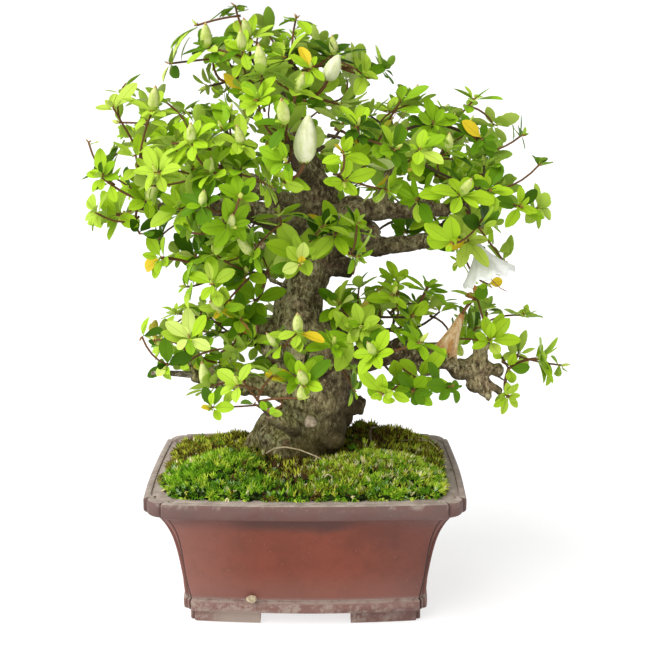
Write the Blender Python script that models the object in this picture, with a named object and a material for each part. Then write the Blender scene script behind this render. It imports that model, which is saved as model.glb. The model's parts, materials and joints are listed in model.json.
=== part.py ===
"""An azalea bonsai in a notched clay pot, in metres with +Z up.

The pot stands on four corner feet and is filled with soil under a bed of moss. The trunk
runs from a flat cut at soil level to its tip, boughs leave it and each other, and each
mass of foliage grows from one stem inside a rounded pad that is its own space.
"""

import math
import random

import bmesh
import bpy
from mathutils import Matrix, Vector
from mathutils.bvhtree import BVHTree

# Clearance between neighbouring solids
GAP = 0.0003

# Pot: the rim, and how far the walls stand in from it at each height
POT_HEIGHT = 0.0886
RIM_HALF_WIDTH = 0.1003
RIM_HALF_DEPTH = 0.0745
LONG_SIDE_BOW = 0.0045
SHORT_SIDE_BOW = 0.0015
FACE_HALF_WIDTH = 0.0880
FACE_HALF_DEPTH = 0.0622
NOTCH = 0.0020
FLOOR_UNDERSIDE = 0.0088
FLOOR_TOP = 0.0165
FOOT_TOP = 0.0084
FOOT_THICKNESS = 0.0110
FOOT_GAP_HEIGHT = 0.0082
FOOT_GAP_WIDTH = 0.0580
FOOT_GAP_DEPTH = 0.0400
DRAIN_RADIUS = 0.0080
DRAIN_SPACING = 0.0500
BEAD_WIDTH = 0.0040
BEAD_HEIGHT = 0.0008
SIDE_STEPS = 3
CORNER_STEPS = 2

# Outer wall from foot to rim: height, how far the faces and the notches stand in
WALL_PROFILE = (
    (0.0000, 0.0262, 0.0165),
    (FOOT_TOP, 0.0262, 0.0165),
    (0.0086, 0.0224, 0.0148),
    (0.0156, 0.0220, 0.0146),
    (0.0165, 0.0228, 0.0154),
    (0.0320, 0.0220, 0.0126),
    (0.0480, 0.0193, 0.0108),
    (0.0600, 0.0162, 0.0090),
    (0.0690, 0.0122, 0.0066),
    (0.0755, 0.0076, 0.0042),
    (0.0785, 0.0014, 0.0010),
    (0.0815, 0.0000, 0.0000),
)
# Inner wall from the mouth to the floor: height and how far it stands in from the rim
MOUTH_PROFILE = (
    (POT_HEIGHT - BEAD_HEIGHT, 0.0150),
    (0.0810, 0.0165),
    (0.0680, 0.0245),
    (FLOOR_TOP, 0.0320),
)
MOUTH_CORNER = 0.0140

# Soil and moss
SOIL_TOP = 0.0820
MOSS_EDGE = 0.0900
MOSS_OVERHANG = 0.0022
MOSS_RINGS = (0.95, 0.82, 0.66, 0.48, 0.28)
# Mounds: where each one stands, how far it spreads, and how high it rises
MOUNDS = (
    (-0.055, -0.035, 0.025, 0.019, 0.0165),
    (0.051, -0.035, 0.027, 0.019, 0.0148),
    (0.002, -0.044, 0.022, 0.016, 0.0070),
    (-0.062, 0.026, 0.022, 0.026, 0.0065),
    (0.058, 0.038, 0.026, 0.022, 0.0090),
    (0.030, 0.006, 0.014, 0.026, 0.0080),
    (-0.008, 0.044, 0.026, 0.016, 0.0050),
)

# Trunk: centre and radius at each height, from the flat cut to the tip
TRUNK_STATIONS = (
    ((-0.004, 0.002, 0.0740), 0.0310),
    ((-0.004, 0.002, 0.0980), 0.0280),
    ((0.001, 0.001, 0.1110), 0.0250),
    ((0.006, 0.000, 0.1270), 0.0228),
    ((0.008, 0.000, 0.1520), 0.0240),
    ((0.002, 0.000, 0.1710), 0.0232),
    ((-0.005, 0.000, 0.1900), 0.0165),
    ((-0.002, 0.000, 0.2080), 0.0146),
    ((0.007, 0.000, 0.2310), 0.0122),
    ((0.009, 0.000, 0.2590), 0.0132),
    ((0.002, 0.001, 0.2860), 0.0086),
    ((-0.005, 0.000, 0.3120), 0.0056),
    ((-0.009, -0.001, 0.3390), 0.0036),
)
TRUNK_SIDES = 10
TRUNK_STEPS = 2
# Surface roots: heading in degrees, reach from the trunk's middle, radius at the trunk
ROOTS = (
    (186, 0.048, 0.0135),
    (238, 0.040, 0.0120),
    (292, 0.037, 0.0105),
    (350, 0.036, 0.0100),
    (62, 0.040, 0.0120),
    (128, 0.040, 0.0120),
)
ROOT_CROWN = 0.120
ROOT_FOOT = 0.084
# Cut stubs on the trunk: from, to, radius at the trunk, radius at the cut
STUBS = (
    ((0.006, 0.000, 0.226), (0.031, -0.004, 0.222), 0.0095, 0.0075),
    ((0.010, 0.000, 0.134), (0.040, -0.006, 0.130), 0.0100, 0.0065),
    ((0.006, 0.000, 0.126), (0.003, -0.027, 0.127), 0.0065, 0.0048),
    ((-0.004, 0.000, 0.184), (-0.031, -0.007, 0.185), 0.0085, 0.0050),
)

# Boughs: name, root, halfway point, tip, root radius, tip radius
BOUGHS = (
    ("bough_left", (0.003, -0.002, 0.250), (-0.042, -0.015, 0.261), (-0.087, -0.025, 0.266),
     0.0105, 0.0038),
    ("bough_front_left", (0.004, -0.003, 0.262), (-0.015, -0.026, 0.270),
     (-0.036, -0.046, 0.275), 0.0062, 0.0032),
    ("bough_right", (0.010, -0.003, 0.254), (0.050, -0.014, 0.262), (0.091, -0.014, 0.261),
     0.0095, 0.0045),
    ("bough_right_top", (0.044, -0.012, 0.261), (0.051, -0.013, 0.278),
     (0.055, -0.011, 0.294), 0.0050, 0.0034),
    ("bough_right_low", (0.008, 0.003, 0.242), (0.048, 0.015, 0.235), (0.083, 0.028, 0.237),
     0.0090, 0.0044),
    ("bough_back_right", (0.007, 0.004, 0.266), (0.024, 0.026, 0.277),
     (0.041, 0.046, 0.287), 0.0064, 0.0034),
    ("bough_back_left", (0.003, 0.003, 0.258), (-0.022, 0.024, 0.268),
     (-0.046, 0.046, 0.279), 0.0070, 0.0034),
    ("bough_back", (0.004, 0.003, 0.274), (0.000, 0.028, 0.279), (-0.006, 0.052, 0.285),
     0.0056, 0.0032),
    ("bough_left_back", (0.003, 0.003, 0.228), (-0.015, 0.021, 0.230),
     (-0.034, 0.040, 0.231), 0.0062, 0.0036),
    ("bough_front", (0.004, -0.002, 0.278), (-0.001, -0.027, 0.287),
     (-0.006, -0.050, 0.293), 0.0052, 0.0032),
    ("bough_apex_back", (-0.002, 0.001, 0.302), (-0.009, 0.020, 0.316),
     (-0.015, 0.034, 0.331), 0.0048, 0.0032),
    ("bough_low_left", (0.004, -0.004, 0.138), (-0.036, -0.012, 0.148),
     (-0.073, -0.018, 0.156), 0.0105, 0.0042),
    ("bough_low_left_front", (0.003, -0.004, 0.114), (-0.012, -0.031, 0.125),
     (-0.022, -0.050, 0.139), 0.0070, 0.0036),
    ("bough_low_left_back", (0.004, 0.003, 0.154), (-0.012, 0.024, 0.156),
     (-0.029, 0.042, 0.158), 0.0070, 0.0038),
    ("bough_low_right", (0.010, -0.002, 0.154), (0.070, -0.013, 0.167),
     (0.127, -0.009, 0.142), 0.0125, 0.0052),
    ("bough_low_right_tip", (0.105, -0.012, 0.157), (0.112, -0.011, 0.162),
     (0.117, -0.009, 0.169), 0.0046, 0.0032),
    ("bough_low_right_top", (0.041, -0.008, 0.163), (0.045, -0.013, 0.171),
     (0.046, -0.018, 0.178), 0.0056, 0.0038),
    ("bough_low_right_back", (0.010, 0.003, 0.150), (0.024, 0.022, 0.155),
     (0.036, 0.038, 0.160), 0.0070, 0.0040),
)
BOUGH_SEGMENTS = 5
BOUGH_BEVEL = 1
BOUGH_KINK = 0.045

# Masses of foliage: name, the bough that carries it or a place on the trunk, and its
# pads, each the two ends of a middle line and a radius
MASSES = (
    ("apex", "trunk_tip", (
        ((-0.004, 0.000, 0.366), (-0.032, -0.005, 0.371), 0.0245),
        ((-0.032, -0.018, 0.353), (-0.066, -0.010, 0.356), 0.0240),
        ((0.004, -0.022, 0.344), (0.030, -0.016, 0.346), 0.0245))),
    ("apex_back", "bough_apex_back", (
        ((-0.040, 0.046, 0.350), (0.014, 0.050, 0.343), 0.0290),)),
    ("left_outer", "bough_left", (
        ((-0.084, -0.022, 0.315), (-0.112, -0.006, 0.321), 0.0240),
        ((-0.114, -0.026, 0.296), (-0.111, -0.018, 0.262), 0.0265))),
    ("left_inner", "bough_front_left", (
        ((-0.049, -0.068, 0.308), (-0.053, -0.070, 0.270), 0.0255),
        ((-0.036, -0.078, 0.290), (-0.076, -0.060, 0.290), 0.0245))),
    ("centre", "bough_front", (
        ((-0.016, -0.062, 0.329), (-0.004, -0.080, 0.305), 0.0255),
        ((0.018, -0.074, 0.306), (0.044, -0.066, 0.298), 0.0250))),
    ("right_top", "bough_right_top", (
        ((0.056, -0.012, 0.314), (0.072, -0.005, 0.322), 0.0250),
        ((0.090, 0.004, 0.310), (0.118, 0.000, 0.312), 0.0245))),
    ("right_tip", "bough_right", (
        ((0.072, -0.060, 0.293), (0.090, -0.058, 0.264), 0.0250),
        ((0.108, -0.018, 0.271), (0.140, -0.005, 0.273), 0.0240),
        ((0.112, -0.024, 0.237), (0.114, -0.024, 0.230), 0.0230))),
    ("front", (0.008, 0.000, 0.240), (
        ((-0.016, -0.054, 0.246), (0.019, -0.058, 0.250), 0.0225),)),
    ("left_mid", (-0.002, 0.000, 0.208), (
        ((-0.036, -0.032, 0.229), (-0.054, -0.036, 0.221), 0.0245),)),
    ("left_low", "bough_low_left", (
        ((-0.056, -0.028, 0.187), (-0.088, -0.018, 0.176), 0.0245),)),
    ("left_front", "bough_low_left_front", (
        ((-0.064, -0.046, 0.153), (-0.020, -0.068, 0.156), 0.0225),)),
    ("front_low", (0.007, 0.000, 0.154), (
        ((0.014, -0.056, 0.163), (-0.004, -0.062, 0.186), 0.0225),)),
    ("right_low", "bough_low_right_top", (
        ((0.038, -0.032, 0.199), (0.064, -0.006, 0.205), 0.0245),
        ((0.052, -0.060, 0.174), (0.080, -0.050, 0.169), 0.0245))),
    ("right_low_tip", "bough_low_right_tip", (
        ((0.108, -0.012, 0.190), (0.150, -0.004, 0.166), 0.0240),)),
    ("back_left_upper", "bough_back_left", (
        ((-0.060, 0.070, 0.300), (-0.106, 0.044, 0.290), 0.0310),)),
    ("back_centre", "bough_back", (
        ((-0.008, 0.086, 0.314), (-0.008, 0.086, 0.282), 0.0290),)),
    ("back_right_upper", "bough_back_right", (
        ((0.048, 0.074, 0.304), (0.104, 0.048, 0.292), 0.0300),)),
    ("back_left", "bough_left_back", (
        ((-0.016, 0.078, 0.228), (-0.078, 0.052, 0.232), 0.0280),)),
    ("back_right", "bough_right_low", (
        ((0.044, 0.070, 0.254), (0.106, 0.044, 0.250), 0.0265),)),
    ("back_low_left", "bough_low_left_back", (
        ((-0.014, 0.078, 0.158), (-0.082, 0.050, 0.164), 0.0275),)),
    ("back_low_right", "bough_low_right_back", (
        ((0.044, 0.070, 0.172), (0.098, 0.044, 0.170), 0.0265),)),
)
LOBE_SPACING = 0.012
PAD_MARGIN = 0.0006
LIMB_MARGIN = 0.0007

# Twigs and leaves
STEM_RADIUS = 0.0024
TWIG_RADIUS = 0.0011
TWIG_TIP_RADIUS = 0.0008
TWIG_SINK = 0.0003
TWIG_SIDES = 3
PATH_COST = 0.35
BRANCHING = (0.30, 0.50, 0.70)
SITE_SPACE = 3.0e-5
SITE_INSET = 0.0065
SITE_TRIALS = 60
HUB_RADIUS = 0.0023
HUB_HEIGHT = 0.0024
HUB_SINK = 0.0006
LEAF_LENGTH = 0.0260
LEAF_WIDTH = 0.0145
LEAF_THICKNESS = 0.0009
LEAF_WIDEST = 0.57
LEAF_DROOP = 0.10
LEAF_SHRINK = (1.0, 0.86, 0.73, 0.62)
LEAF_TILTS = (64, 80, 48, 94)
LEAVES_PER_WHORL = (5, 6, 5, 5)
# What a new leaf keeps clear of: each hub's reach, the share of a twig before its hub, and
# the share of another leaf beyond its neck
HUB_REACH = 0.0034
TWIG_SHARE = 0.86
LEAF_NECK = 0.12
RANDOM_SEED = 41

# Blossom: mass, kind, base, the way that it points
BLOSSOM = (
    ("centre", "bud", (0.000, -0.070, 0.298), (0.05, -0.12, 1.0)),
    ("apex", "bud", (0.012, -0.030, 0.338), (0.35, -0.20, 1.0)),
    ("right_tip", "flower", (0.103, -0.020, 0.242), (0.62, -0.18, -0.80)),
    ("right_low_tip", "withered", (0.099, -0.020, 0.190), (-0.35, -0.10, -0.80)),
)
BUD_SIZE = (0.026, 0.012)
WITHERED_SIZE = (0.024, 0.013)
PETAL_SIZE = (0.027, 0.0155)
PETAL_TILT = 46
BLOSSOM_REACH = 0.011
PETAL_COUNT = 5

# Plain colours: base colour and roughness
COLOURS = {
    "clay": ((0.27, 0.105, 0.075, 1.0), 0.62),
    "soil": ((0.035, 0.024, 0.016, 1.0), 0.95),
    "moss": ((0.13, 0.22, 0.03, 1.0), 0.90),
    "bark": ((0.19, 0.155, 0.115, 1.0), 0.85),
    "foliage": ((0.19, 0.38, 0.045, 1.0), 0.50),
}


# Scene, materials and small helpers

def clear_scene():
    for existing in list(bpy.data.objects):
        bpy.data.objects.remove(existing, do_unlink=True)


def new_collection(name):
    collection = bpy.data.collections.new(name)
    bpy.context.scene.collection.children.link(collection)
    return collection


def new_material(name, colour, roughness):
    material = bpy.data.materials.new(name)
    material.use_nodes = True
    shader = material.node_tree.nodes["Principled BSDF"]
    shader.inputs["Base Color"].default_value = colour
    shader.inputs["Roughness"].default_value = roughness
    material.diffuse_color = colour
    return material


def object_from_bmesh(name, form, collection):
    mesh = bpy.data.meshes.new(name)
    form.to_mesh(mesh)
    form.free()
    made = bpy.data.objects.new(name, mesh)
    collection.objects.link(made)
    return made


def evaluated_mesh(source):
    """The object's shape with its modifiers, as a mesh with its place applied."""
    graph = bpy.context.evaluated_depsgraph_get()
    mesh = bpy.data.meshes.new_from_object(source.evaluated_get(graph))
    mesh.transform(source.matrix_world)
    return mesh


def boolean_modifier(target, operation, solver="EXACT", operand=None, collection=None):
    modifier = target.modifiers.new("Join", "BOOLEAN")
    modifier.operation = operation
    modifier.solver = solver
    if collection is None:
        modifier.object = operand
    else:
        modifier.operand_type = "COLLECTION"
        modifier.collection = collection


def keep_largest_piece(mesh):
    """Drops the scraps that a cut or a missed join leaves loose."""
    form = bmesh.new()
    form.from_mesh(mesh)
    unseen = set(form.faces)
    pieces = []
    while unseen:
        piece = {unseen.pop()}
        edge_of_search = list(piece)
        while edge_of_search:
            face = edge_of_search.pop()
            for edge in face.edges:
                for neighbour in edge.link_faces:
                    if neighbour in unseen:
                        unseen.remove(neighbour)
                        piece.add(neighbour)
                        edge_of_search.append(neighbour)
        pieces.append(piece)
    pieces.sort(key=lambda piece: sum(face.calc_area() for face in piece), reverse=True)
    for piece in pieces[1:]:
        bmesh.ops.delete(form, geom=list(piece), context="FACES")
    form.to_mesh(mesh)
    form.free()


def apply_modifiers(target):
    """Replaces the object's mesh by its evaluated shape, in one piece."""
    bpy.context.view_layer.update()
    mesh = evaluated_mesh(target)
    keep_largest_piece(mesh)
    target.modifiers.clear()
    target.matrix_world = Matrix()
    target.data = mesh


def fuse(name, operands, collection, solver):
    """One Boolean union on a collection joins the shapes, which are then removed."""
    joined = new_collection(name + "_parts")
    for operand in operands[1:]:
        collection.objects.unlink(operand)
        joined.objects.link(operand)
    body = operands[0]
    body.name = name
    boolean_modifier(body, "UNION", solver, collection=joined)
    apply_modifiers(body)
    for operand in list(joined.objects):
        bpy.data.objects.remove(operand, do_unlink=True)
    bpy.data.collections.remove(joined)
    return body


def smooth(target):
    target.data.shade_smooth()
    target.data.set_sharp_from_angle(angle=math.radians(40))


# Pot

def ring(height, half_width, half_depth, face_x, face_y, notch):
    """A notched outline: four bowed faces with a rounded, recessed corner between them."""
    points = []
    headings = ((1, 0), (0, 1), (-1, 0), (0, -1))
    for side, (along_x, along_y) in enumerate(headings):
        is_long = side % 2 == 0
        reach = face_x if is_long else face_y
        offset = half_depth if is_long else half_width
        next_reach = face_y if is_long else face_x
        next_offset = half_width if is_long else half_depth
        bow = LONG_SIDE_BOW if is_long else SHORT_SIDE_BOW
        local = []
        for step in range(SIDE_STEPS + 1):
            along = reach * (2 * step / SIDE_STEPS - 1)
            local.append((along, offset + bow * (1 - (along / reach) ** 2)))
        for step in range(CORNER_STEPS + 1):
            turn = math.pi / 2 * (1 - step / CORNER_STEPS)
            across = (next_offset - notch - reach) * math.cos(turn)
            outward = (offset - notch - next_reach) * math.sin(turn)
            local.append((reach + across, next_reach + outward))
        for along, outward in local:
            x = along * along_x + outward * along_y
            y = along * along_y - outward * along_x
            points.append(Vector((x, y, height)))
    return points


def wall_ring(height, face_in, notch_in):
    return ring(height, RIM_HALF_WIDTH - face_in, RIM_HALF_DEPTH - face_in,
                FACE_HALF_WIDTH - notch_in, FACE_HALF_DEPTH - notch_in, NOTCH)


def mouth_ring(height, inset):
    half_width = RIM_HALF_WIDTH - inset
    half_depth = RIM_HALF_DEPTH - inset
    return ring(height, half_width, half_depth, half_width - MOUTH_CORNER,
                half_depth - MOUTH_CORNER, 0.0)


def loft(name, rings, collection):
    """Joins rings with as many points each by a closed skin with a flat face at each end."""
    form = bmesh.new()
    rows = [[form.verts.new(point) for point in points] for points in rings]
    count = len(rows[0])
    for lower, upper in zip(rows, rows[1:]):
        for index in range(count):
            after = (index + 1) % count
            form.faces.new((lower[index], lower[after], upper[after], upper[index]))
    form.faces.new(list(reversed(rows[0])))
    form.faces.new(rows[-1])
    bmesh.ops.remove_doubles(form, verts=form.verts, dist=1e-7)
    bmesh.ops.recalc_face_normals(form, faces=form.faces)
    return object_from_bmesh(name, form, collection)


def add_cutter(cutters, location, size=None, radius=None, depth=None):
    if size is None:
        bpy.ops.mesh.primitive_cylinder_add(vertices=20, radius=radius, depth=depth,
                                            location=location)
    else:
        bpy.ops.mesh.primitive_cube_add(size=1, location=location, scale=size)
    cutter = bpy.context.active_object
    for holder in cutter.users_collection:
        holder.objects.unlink(cutter)
    cutters.objects.link(cutter)
    cutter.hide_render = True
    cutter.display_type = "WIRE"
    return cutter


def build_pot(collection, cutters):
    foot_in = WALL_PROFILE[0][1] + FOOT_THICKNESS
    rings = [mouth_ring(FLOOR_UNDERSIDE, foot_in), mouth_ring(0.0, foot_in)]
    rings += [wall_ring(*row) for row in WALL_PROFILE]
    rings.append(wall_ring(POT_HEIGHT - BEAD_HEIGHT, 0.0, 0.0))
    rings.append(wall_ring(POT_HEIGHT, BEAD_HEIGHT, BEAD_HEIGHT))
    rings.append(wall_ring(POT_HEIGHT, BEAD_WIDTH, BEAD_WIDTH))
    rings.append(wall_ring(POT_HEIGHT - BEAD_HEIGHT, BEAD_WIDTH + BEAD_HEIGHT,
                           BEAD_WIDTH + BEAD_HEIGHT))
    rings += [mouth_ring(*row) for row in MOUTH_PROFILE]
    pot = loft("pot", rings, collection)
    through = 4 * RIM_HALF_WIDTH
    gap_sizes = ((FOOT_GAP_WIDTH, through), (through, FOOT_GAP_DEPTH))
    for width, depth in gap_sizes:
        size = (width, depth, 2 * FOOT_GAP_HEIGHT)
        boolean_modifier(pot, "DIFFERENCE", operand=add_cutter(cutters, (0, 0, 0), size))
    for side in (-1, 1):
        drain = add_cutter(cutters, (side * DRAIN_SPACING / 2, 0, FLOOR_TOP),
                           radius=DRAIN_RADIUS, depth=2 * FLOOR_TOP)
        boolean_modifier(pot, "DIFFERENCE", operand=drain)
    smooth(pot)
    return pot


def build_soil(collection):
    rings = []
    for height, inset in reversed(MOUTH_PROFILE[1:]):
        rings.append(mouth_ring(height, inset + GAP))
    rings[0] = mouth_ring(FLOOR_TOP + GAP, MOUTH_PROFILE[-1][1] + GAP)
    rings.append(mouth_ring(SOIL_TOP, MOUTH_PROFILE[1][1] + GAP))
    return loft("soil", rings, collection)


def moss_height(x, y):
    height = 0.0
    for mound_x, mound_y, spread_x, spread_y, rise in MOUNDS:
        away = ((x - mound_x) / spread_x) ** 2 + ((y - mound_y) / spread_y) ** 2
        height += rise * math.exp(-away / 2)
    return height


def build_moss(collection, trunk_clearance):
    inside = MOUTH_PROFILE[1][1] + GAP
    edge = mouth_ring(MOSS_EDGE, MOUTH_PROFILE[0][1] - MOSS_OVERHANG)
    rings = [mouth_ring(SOIL_TOP + GAP, inside),
             mouth_ring(POT_HEIGHT - BEAD_HEIGHT, inside), edge]
    for fraction in MOSS_RINGS:
        points = []
        for point in edge:
            x = point.x * fraction
            y = point.y * fraction
            lift = moss_height(x, y) * (1 - fraction ** 6) + 0.001
            points.append(Vector((x, y, MOSS_EDGE + lift)))
        rings.append(points)
    moss = loft("moss", rings, collection)
    boolean_modifier(moss, "DIFFERENCE", operand=trunk_clearance)
    apply_modifiers(moss)
    smooth(moss)
    return moss


# Trunk and boughs

def spline_point(before, start, end, after, t):
    """Catmull-Rom interpolation between start and end."""
    return 0.5 * (2 * start + (end - before) * t
                  + (2 * before - 5 * start + 4 * end - after) * t ** 2
                  + (3 * start - before - 3 * end + after) * t ** 3)


def smooth_stations(stations, steps):
    """More stations on a smooth line through the given ones."""
    rows = [Vector((*centre, radius)) for centre, radius in stations]
    padded = [rows[0]] + rows + [rows[-1]]
    route = []
    for index in range(len(rows) - 1):
        for step in range(steps):
            route.append(spline_point(*padded[index:index + 4], step / steps))
    route.append(rows[-1])
    return [(row.xyz, row.w) for row in route]


def bough_route(root, halfway, tip, root_radius, tip_radius, seed):
    """A tapering route bent through its halfway point, with the kinks of old wood."""
    rule = random.Random(seed)
    root = Vector(root)
    tip = Vector(tip)
    control = 2 * Vector(halfway) - (root + tip) / 2
    length = (tip - root).length
    route = []
    for step in range(BOUGH_SEGMENTS + 1):
        t = step / BOUGH_SEGMENTS
        point = root * (1 - t) ** 2 + control * 2 * t * (1 - t) + tip * t ** 2
        if 0 < step < BOUGH_SEGMENTS:
            kink = Vector([rule.uniform(-1, 1) for axis in range(3)])
            point += kink * BOUGH_KINK * length * math.sin(math.pi * t) * 0.5
        route.append((point, root_radius + (tip_radius - root_radius) * t ** 0.8))
    return route


def tube(name, route, collection, bevel, extra=0.0):
    """A round limb along a route, made a closed mesh; extra widens and lengthens it."""
    curve = bpy.data.curves.new(name, "CURVE")
    curve.dimensions = "3D"
    curve.bevel_depth = 1.0
    curve.bevel_resolution = bevel
    curve.use_fill_caps = True
    spline = curve.splines.new("POLY")
    spline.points.add(len(route) - 1)
    points = [point.copy() for point, radius in route]
    points[0] += (points[0] - points[1]).normalized() * extra
    points[-1] += (points[-1] - points[-2]).normalized() * extra
    for knot, point, (place, radius) in zip(spline.points, points, route):
        knot.co = (*point, 1.0)
        knot.radius = radius + extra
    limb = bpy.data.objects.new(name, curve)
    collection.objects.link(limb)
    bpy.context.view_layer.update()
    mesh = evaluated_mesh(limb)
    bpy.data.objects.remove(limb, do_unlink=True)
    form = bmesh.new()
    form.from_mesh(mesh)
    bmesh.ops.remove_doubles(form, verts=form.verts, dist=1e-6)
    bmesh.ops.recalc_face_normals(form, faces=form.faces)
    return object_from_bmesh(name, form, collection)


def root_route(heading, reach, radius):
    turn = math.radians(heading)
    axis = Vector((TRUNK_STATIONS[1][0][0], TRUNK_STATIONS[1][0][1], 0))
    outward = Vector((math.cos(turn), math.sin(turn), 0))
    top = axis + outward * 0.012 + Vector((0, 0, ROOT_CROWN))
    knee = axis + outward * reach * 0.66 + Vector((0, 0, (ROOT_CROWN + 2 * ROOT_FOOT) / 3))
    foot = axis + outward * reach + Vector((0, 0, ROOT_FOOT - 0.004))
    return [(top, radius), (knee, radius * 0.72), (foot, radius * 0.55)]


def trunk_routes():
    """The trunk itself, its surface roots and its cut stubs."""
    routes = [smooth_stations(TRUNK_STATIONS, TRUNK_STEPS)]
    routes += [root_route(*root) for root in ROOTS]
    for start, end, radius, cut_radius in STUBS:
        start = Vector(start)
        end = Vector(end)
        middle = (start + end) / 2
        routes.append([(start, radius), (middle, radius * 0.9), (end, cut_radius)])
    return routes


def build_trunk(name, collection, cutters, extra=0.0):
    shapes = []
    for index, route in enumerate(trunk_routes()):
        bevel = TRUNK_SIDES // 2 - 2 if index == 0 else BOUGH_BEVEL
        shapes.append(tube(name + "_shape", route, collection, bevel, extra))
    trunk = fuse(name, shapes, collection, "EXACT")
    ground = SOIL_TOP + GAP - extra
    below = add_cutter(cutters, (0, 0, ground - 0.05), (0.3, 0.3, 0.1))
    boolean_modifier(trunk, "DIFFERENCE", operand=below)
    apply_modifiers(trunk)
    smooth(trunk)
    return trunk


def build_boughs(collection, cutters, trunk, trunk_clearance):
    """Cuts each bough clear of the trunk and of the boughs made before it."""
    boughs = {}
    routes = {}
    clearances = [trunk_clearance]
    for index, (name, root, halfway, tip, root_radius, tip_radius) in enumerate(BOUGHS):
        route = bough_route(root, halfway, tip, root_radius, tip_radius, RANDOM_SEED + index)
        bough = tube(name, route, collection, BOUGH_BEVEL)
        for clearance in clearances:
            if boxes_meet(bough, clearance):
                boolean_modifier(bough, "DIFFERENCE", operand=clearance)
                apply_modifiers(bough)
        clearance = tube(name + "_clearance", route, cutters, BOUGH_BEVEL, GAP)
        clearance.hide_render = True
        clearance.display_type = "WIRE"
        clearances.append(clearance)
        smooth(bough)
        boughs[name] = bough
        routes[name] = route
    return boughs, routes


def boxes_meet(one, other):
    for axis in range(3):
        ones = [vertex.co[axis] for vertex in one.data.vertices]
        others = [vertex.co[axis] for vertex in other.data.vertices]
        if min(ones) > max(others) or min(others) > max(ones):
            return False
    return True


# Foliage

def pad_lobes():
    """Spheres along the middle line of each pad, with the mass that owns each."""
    lobes = []
    for name, carrier, pads in MASSES:
        for inner, outer, radius in pads:
            inner = Vector(inner)
            outer = Vector(outer)
            steps = max(1, round((outer - inner).length / LOBE_SPACING))
            for step in range(steps + 1):
                lobes.append((name, inner.lerp(outer, step / steps), radius))
    return lobes


def inside_pad(point, space, margin=PAD_MARGIN):
    """True where the point is in the mass's own pads and nearer to them than to another's."""
    own_lobes, other_lobes = space
    depth = max(radius - (point - centre).length for centre, radius in own_lobes)
    if depth < margin:
        return False
    own = min((point - centre).length_squared - radius ** 2 for centre, radius in own_lobes)
    for centre, radius in other_lobes:
        if (point - centre).length_squared - radius ** 2 - own < margin * 2 * radius:
            return False
    return True


def mass_space(mass, lobes):
    """The mass's own spheres, and those of other masses that come near them."""
    own = [(centre, radius) for name, centre, radius in lobes if name == mass]
    others = []
    for name, centre, radius in lobes:
        if name == mass:
            continue
        if any((centre - near).length < radius + reach + 0.01 for near, reach in own):
            others.append((centre, radius))
    return own, others


def clear_of_limbs(point, reach, limbs):
    """True where a ball of this reach touches no limb."""
    for start, end, start_radius, end_radius in limbs:
        along = end - start
        t = (point - start).dot(along) / along.length_squared
        t = min(max(t, 0.0), 1.0)
        radius = start_radius + (end_radius - start_radius) * t
        if (point - start - along * t).length < radius + reach + LIMB_MARGIN:
            return False
    return True


def limb_segments(routes):
    segments = []
    for route in routes:
        for (start, start_radius), (end, end_radius) in zip(route, route[1:]):
            segments.append((start, end, start_radius, end_radius))
    return segments


def random_heading(rule):
    return Vector([rule.gauss(0, 1) for axis in range(3)]).normalized()


def place_sites(rule, pads, space, limbs):
    """Spreads the ends of the twigs through the pads, each far from the rest."""
    own = space[0]
    volume = sum(math.pi * radius ** 2 * ((Vector(outer) - Vector(inner)).length + radius * 1.1)
                 for inner, outer, radius in pads)
    sites = []
    for index in range(max(4, round(volume / SITE_SPACE))):
        best = None
        best_gap = 0.0
        for trial in range(SITE_TRIALS):
            centre, radius = rule.choice(own)
            site = centre + random_heading(rule) * (radius - SITE_INSET) * rule.random() ** 0.45
            if not inside_pad(site, space, SITE_INSET) or not clear_of_limbs(site, 0.003, limbs):
                continue
            gap = min([(site - other).length for other in sites], default=1.0)
            if gap > best_gap:
                best_gap = gap
                best = site
        if best is not None:
            sites.append(best)
    return sites


def cone_between(start, end, start_radius, end_radius, sides, collection):
    along = end - start
    turn = along.to_track_quat("Z", "Y").to_matrix().to_4x4()
    form = bmesh.new()
    bmesh.ops.create_cone(form, cap_ends=True, segments=sides, radius1=start_radius,
                          radius2=end_radius, depth=along.length)
    form.transform(Matrix.Translation((start + end) / 2) @ turn)
    return object_from_bmesh("twig", form, collection)


def leaf_points(base, heading, upward, length, width):
    """The middle and half width of a leaf's widest place, and its drooping tip."""
    side = upward.cross(heading).normalized()
    middle = base + heading * length * LEAF_WIDEST
    droop = heading.cross(side).normalized() * length * LEAF_DROOP
    return middle, side * width / 2, base + heading * length - droop


def surface_of(corners, faces):
    """A closed shape's middle, reach and faces, which others can be tested against."""
    centre = sum(corners, Vector()) / len(corners)
    reach = max((corner - centre).length for corner in corners)
    return centre, reach, BVHTree.FromPolygons(corners, faces)


def leaf_surface(roots, widest, tip):
    """The leaf from just beyond its root: three sides to its widest place, three to its tip."""
    necks = [root.lerp(place, LEAF_NECK) for root, place in zip(roots, widest)]
    faces = []
    for side, after in ((0, 1), (1, 2), (2, 0)):
        faces.append((side, after, after + 3))
        faces.append((side, after + 3, side + 3))
        faces.append((side + 3, after + 3, 6))
    return surface_of(necks + widest + [tip], faces)


def twig_surface(start, end, radius):
    """A twig up to just before its hub, as a narrowing three-sided prism."""
    across = (end - start).orthogonal().normalized() * radius
    turn = Matrix.Rotation(math.radians(120), 3, end - start)
    near = []
    far = []
    for step in range(3):
        near.append(start + across)
        far.append(start.lerp(end, TWIG_SHARE) + across * 0.8)
        across = turn @ across
    return surface_of(near + far, ((0, 1, 4, 3), (1, 2, 5, 4), (2, 0, 3, 5)))


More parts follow.
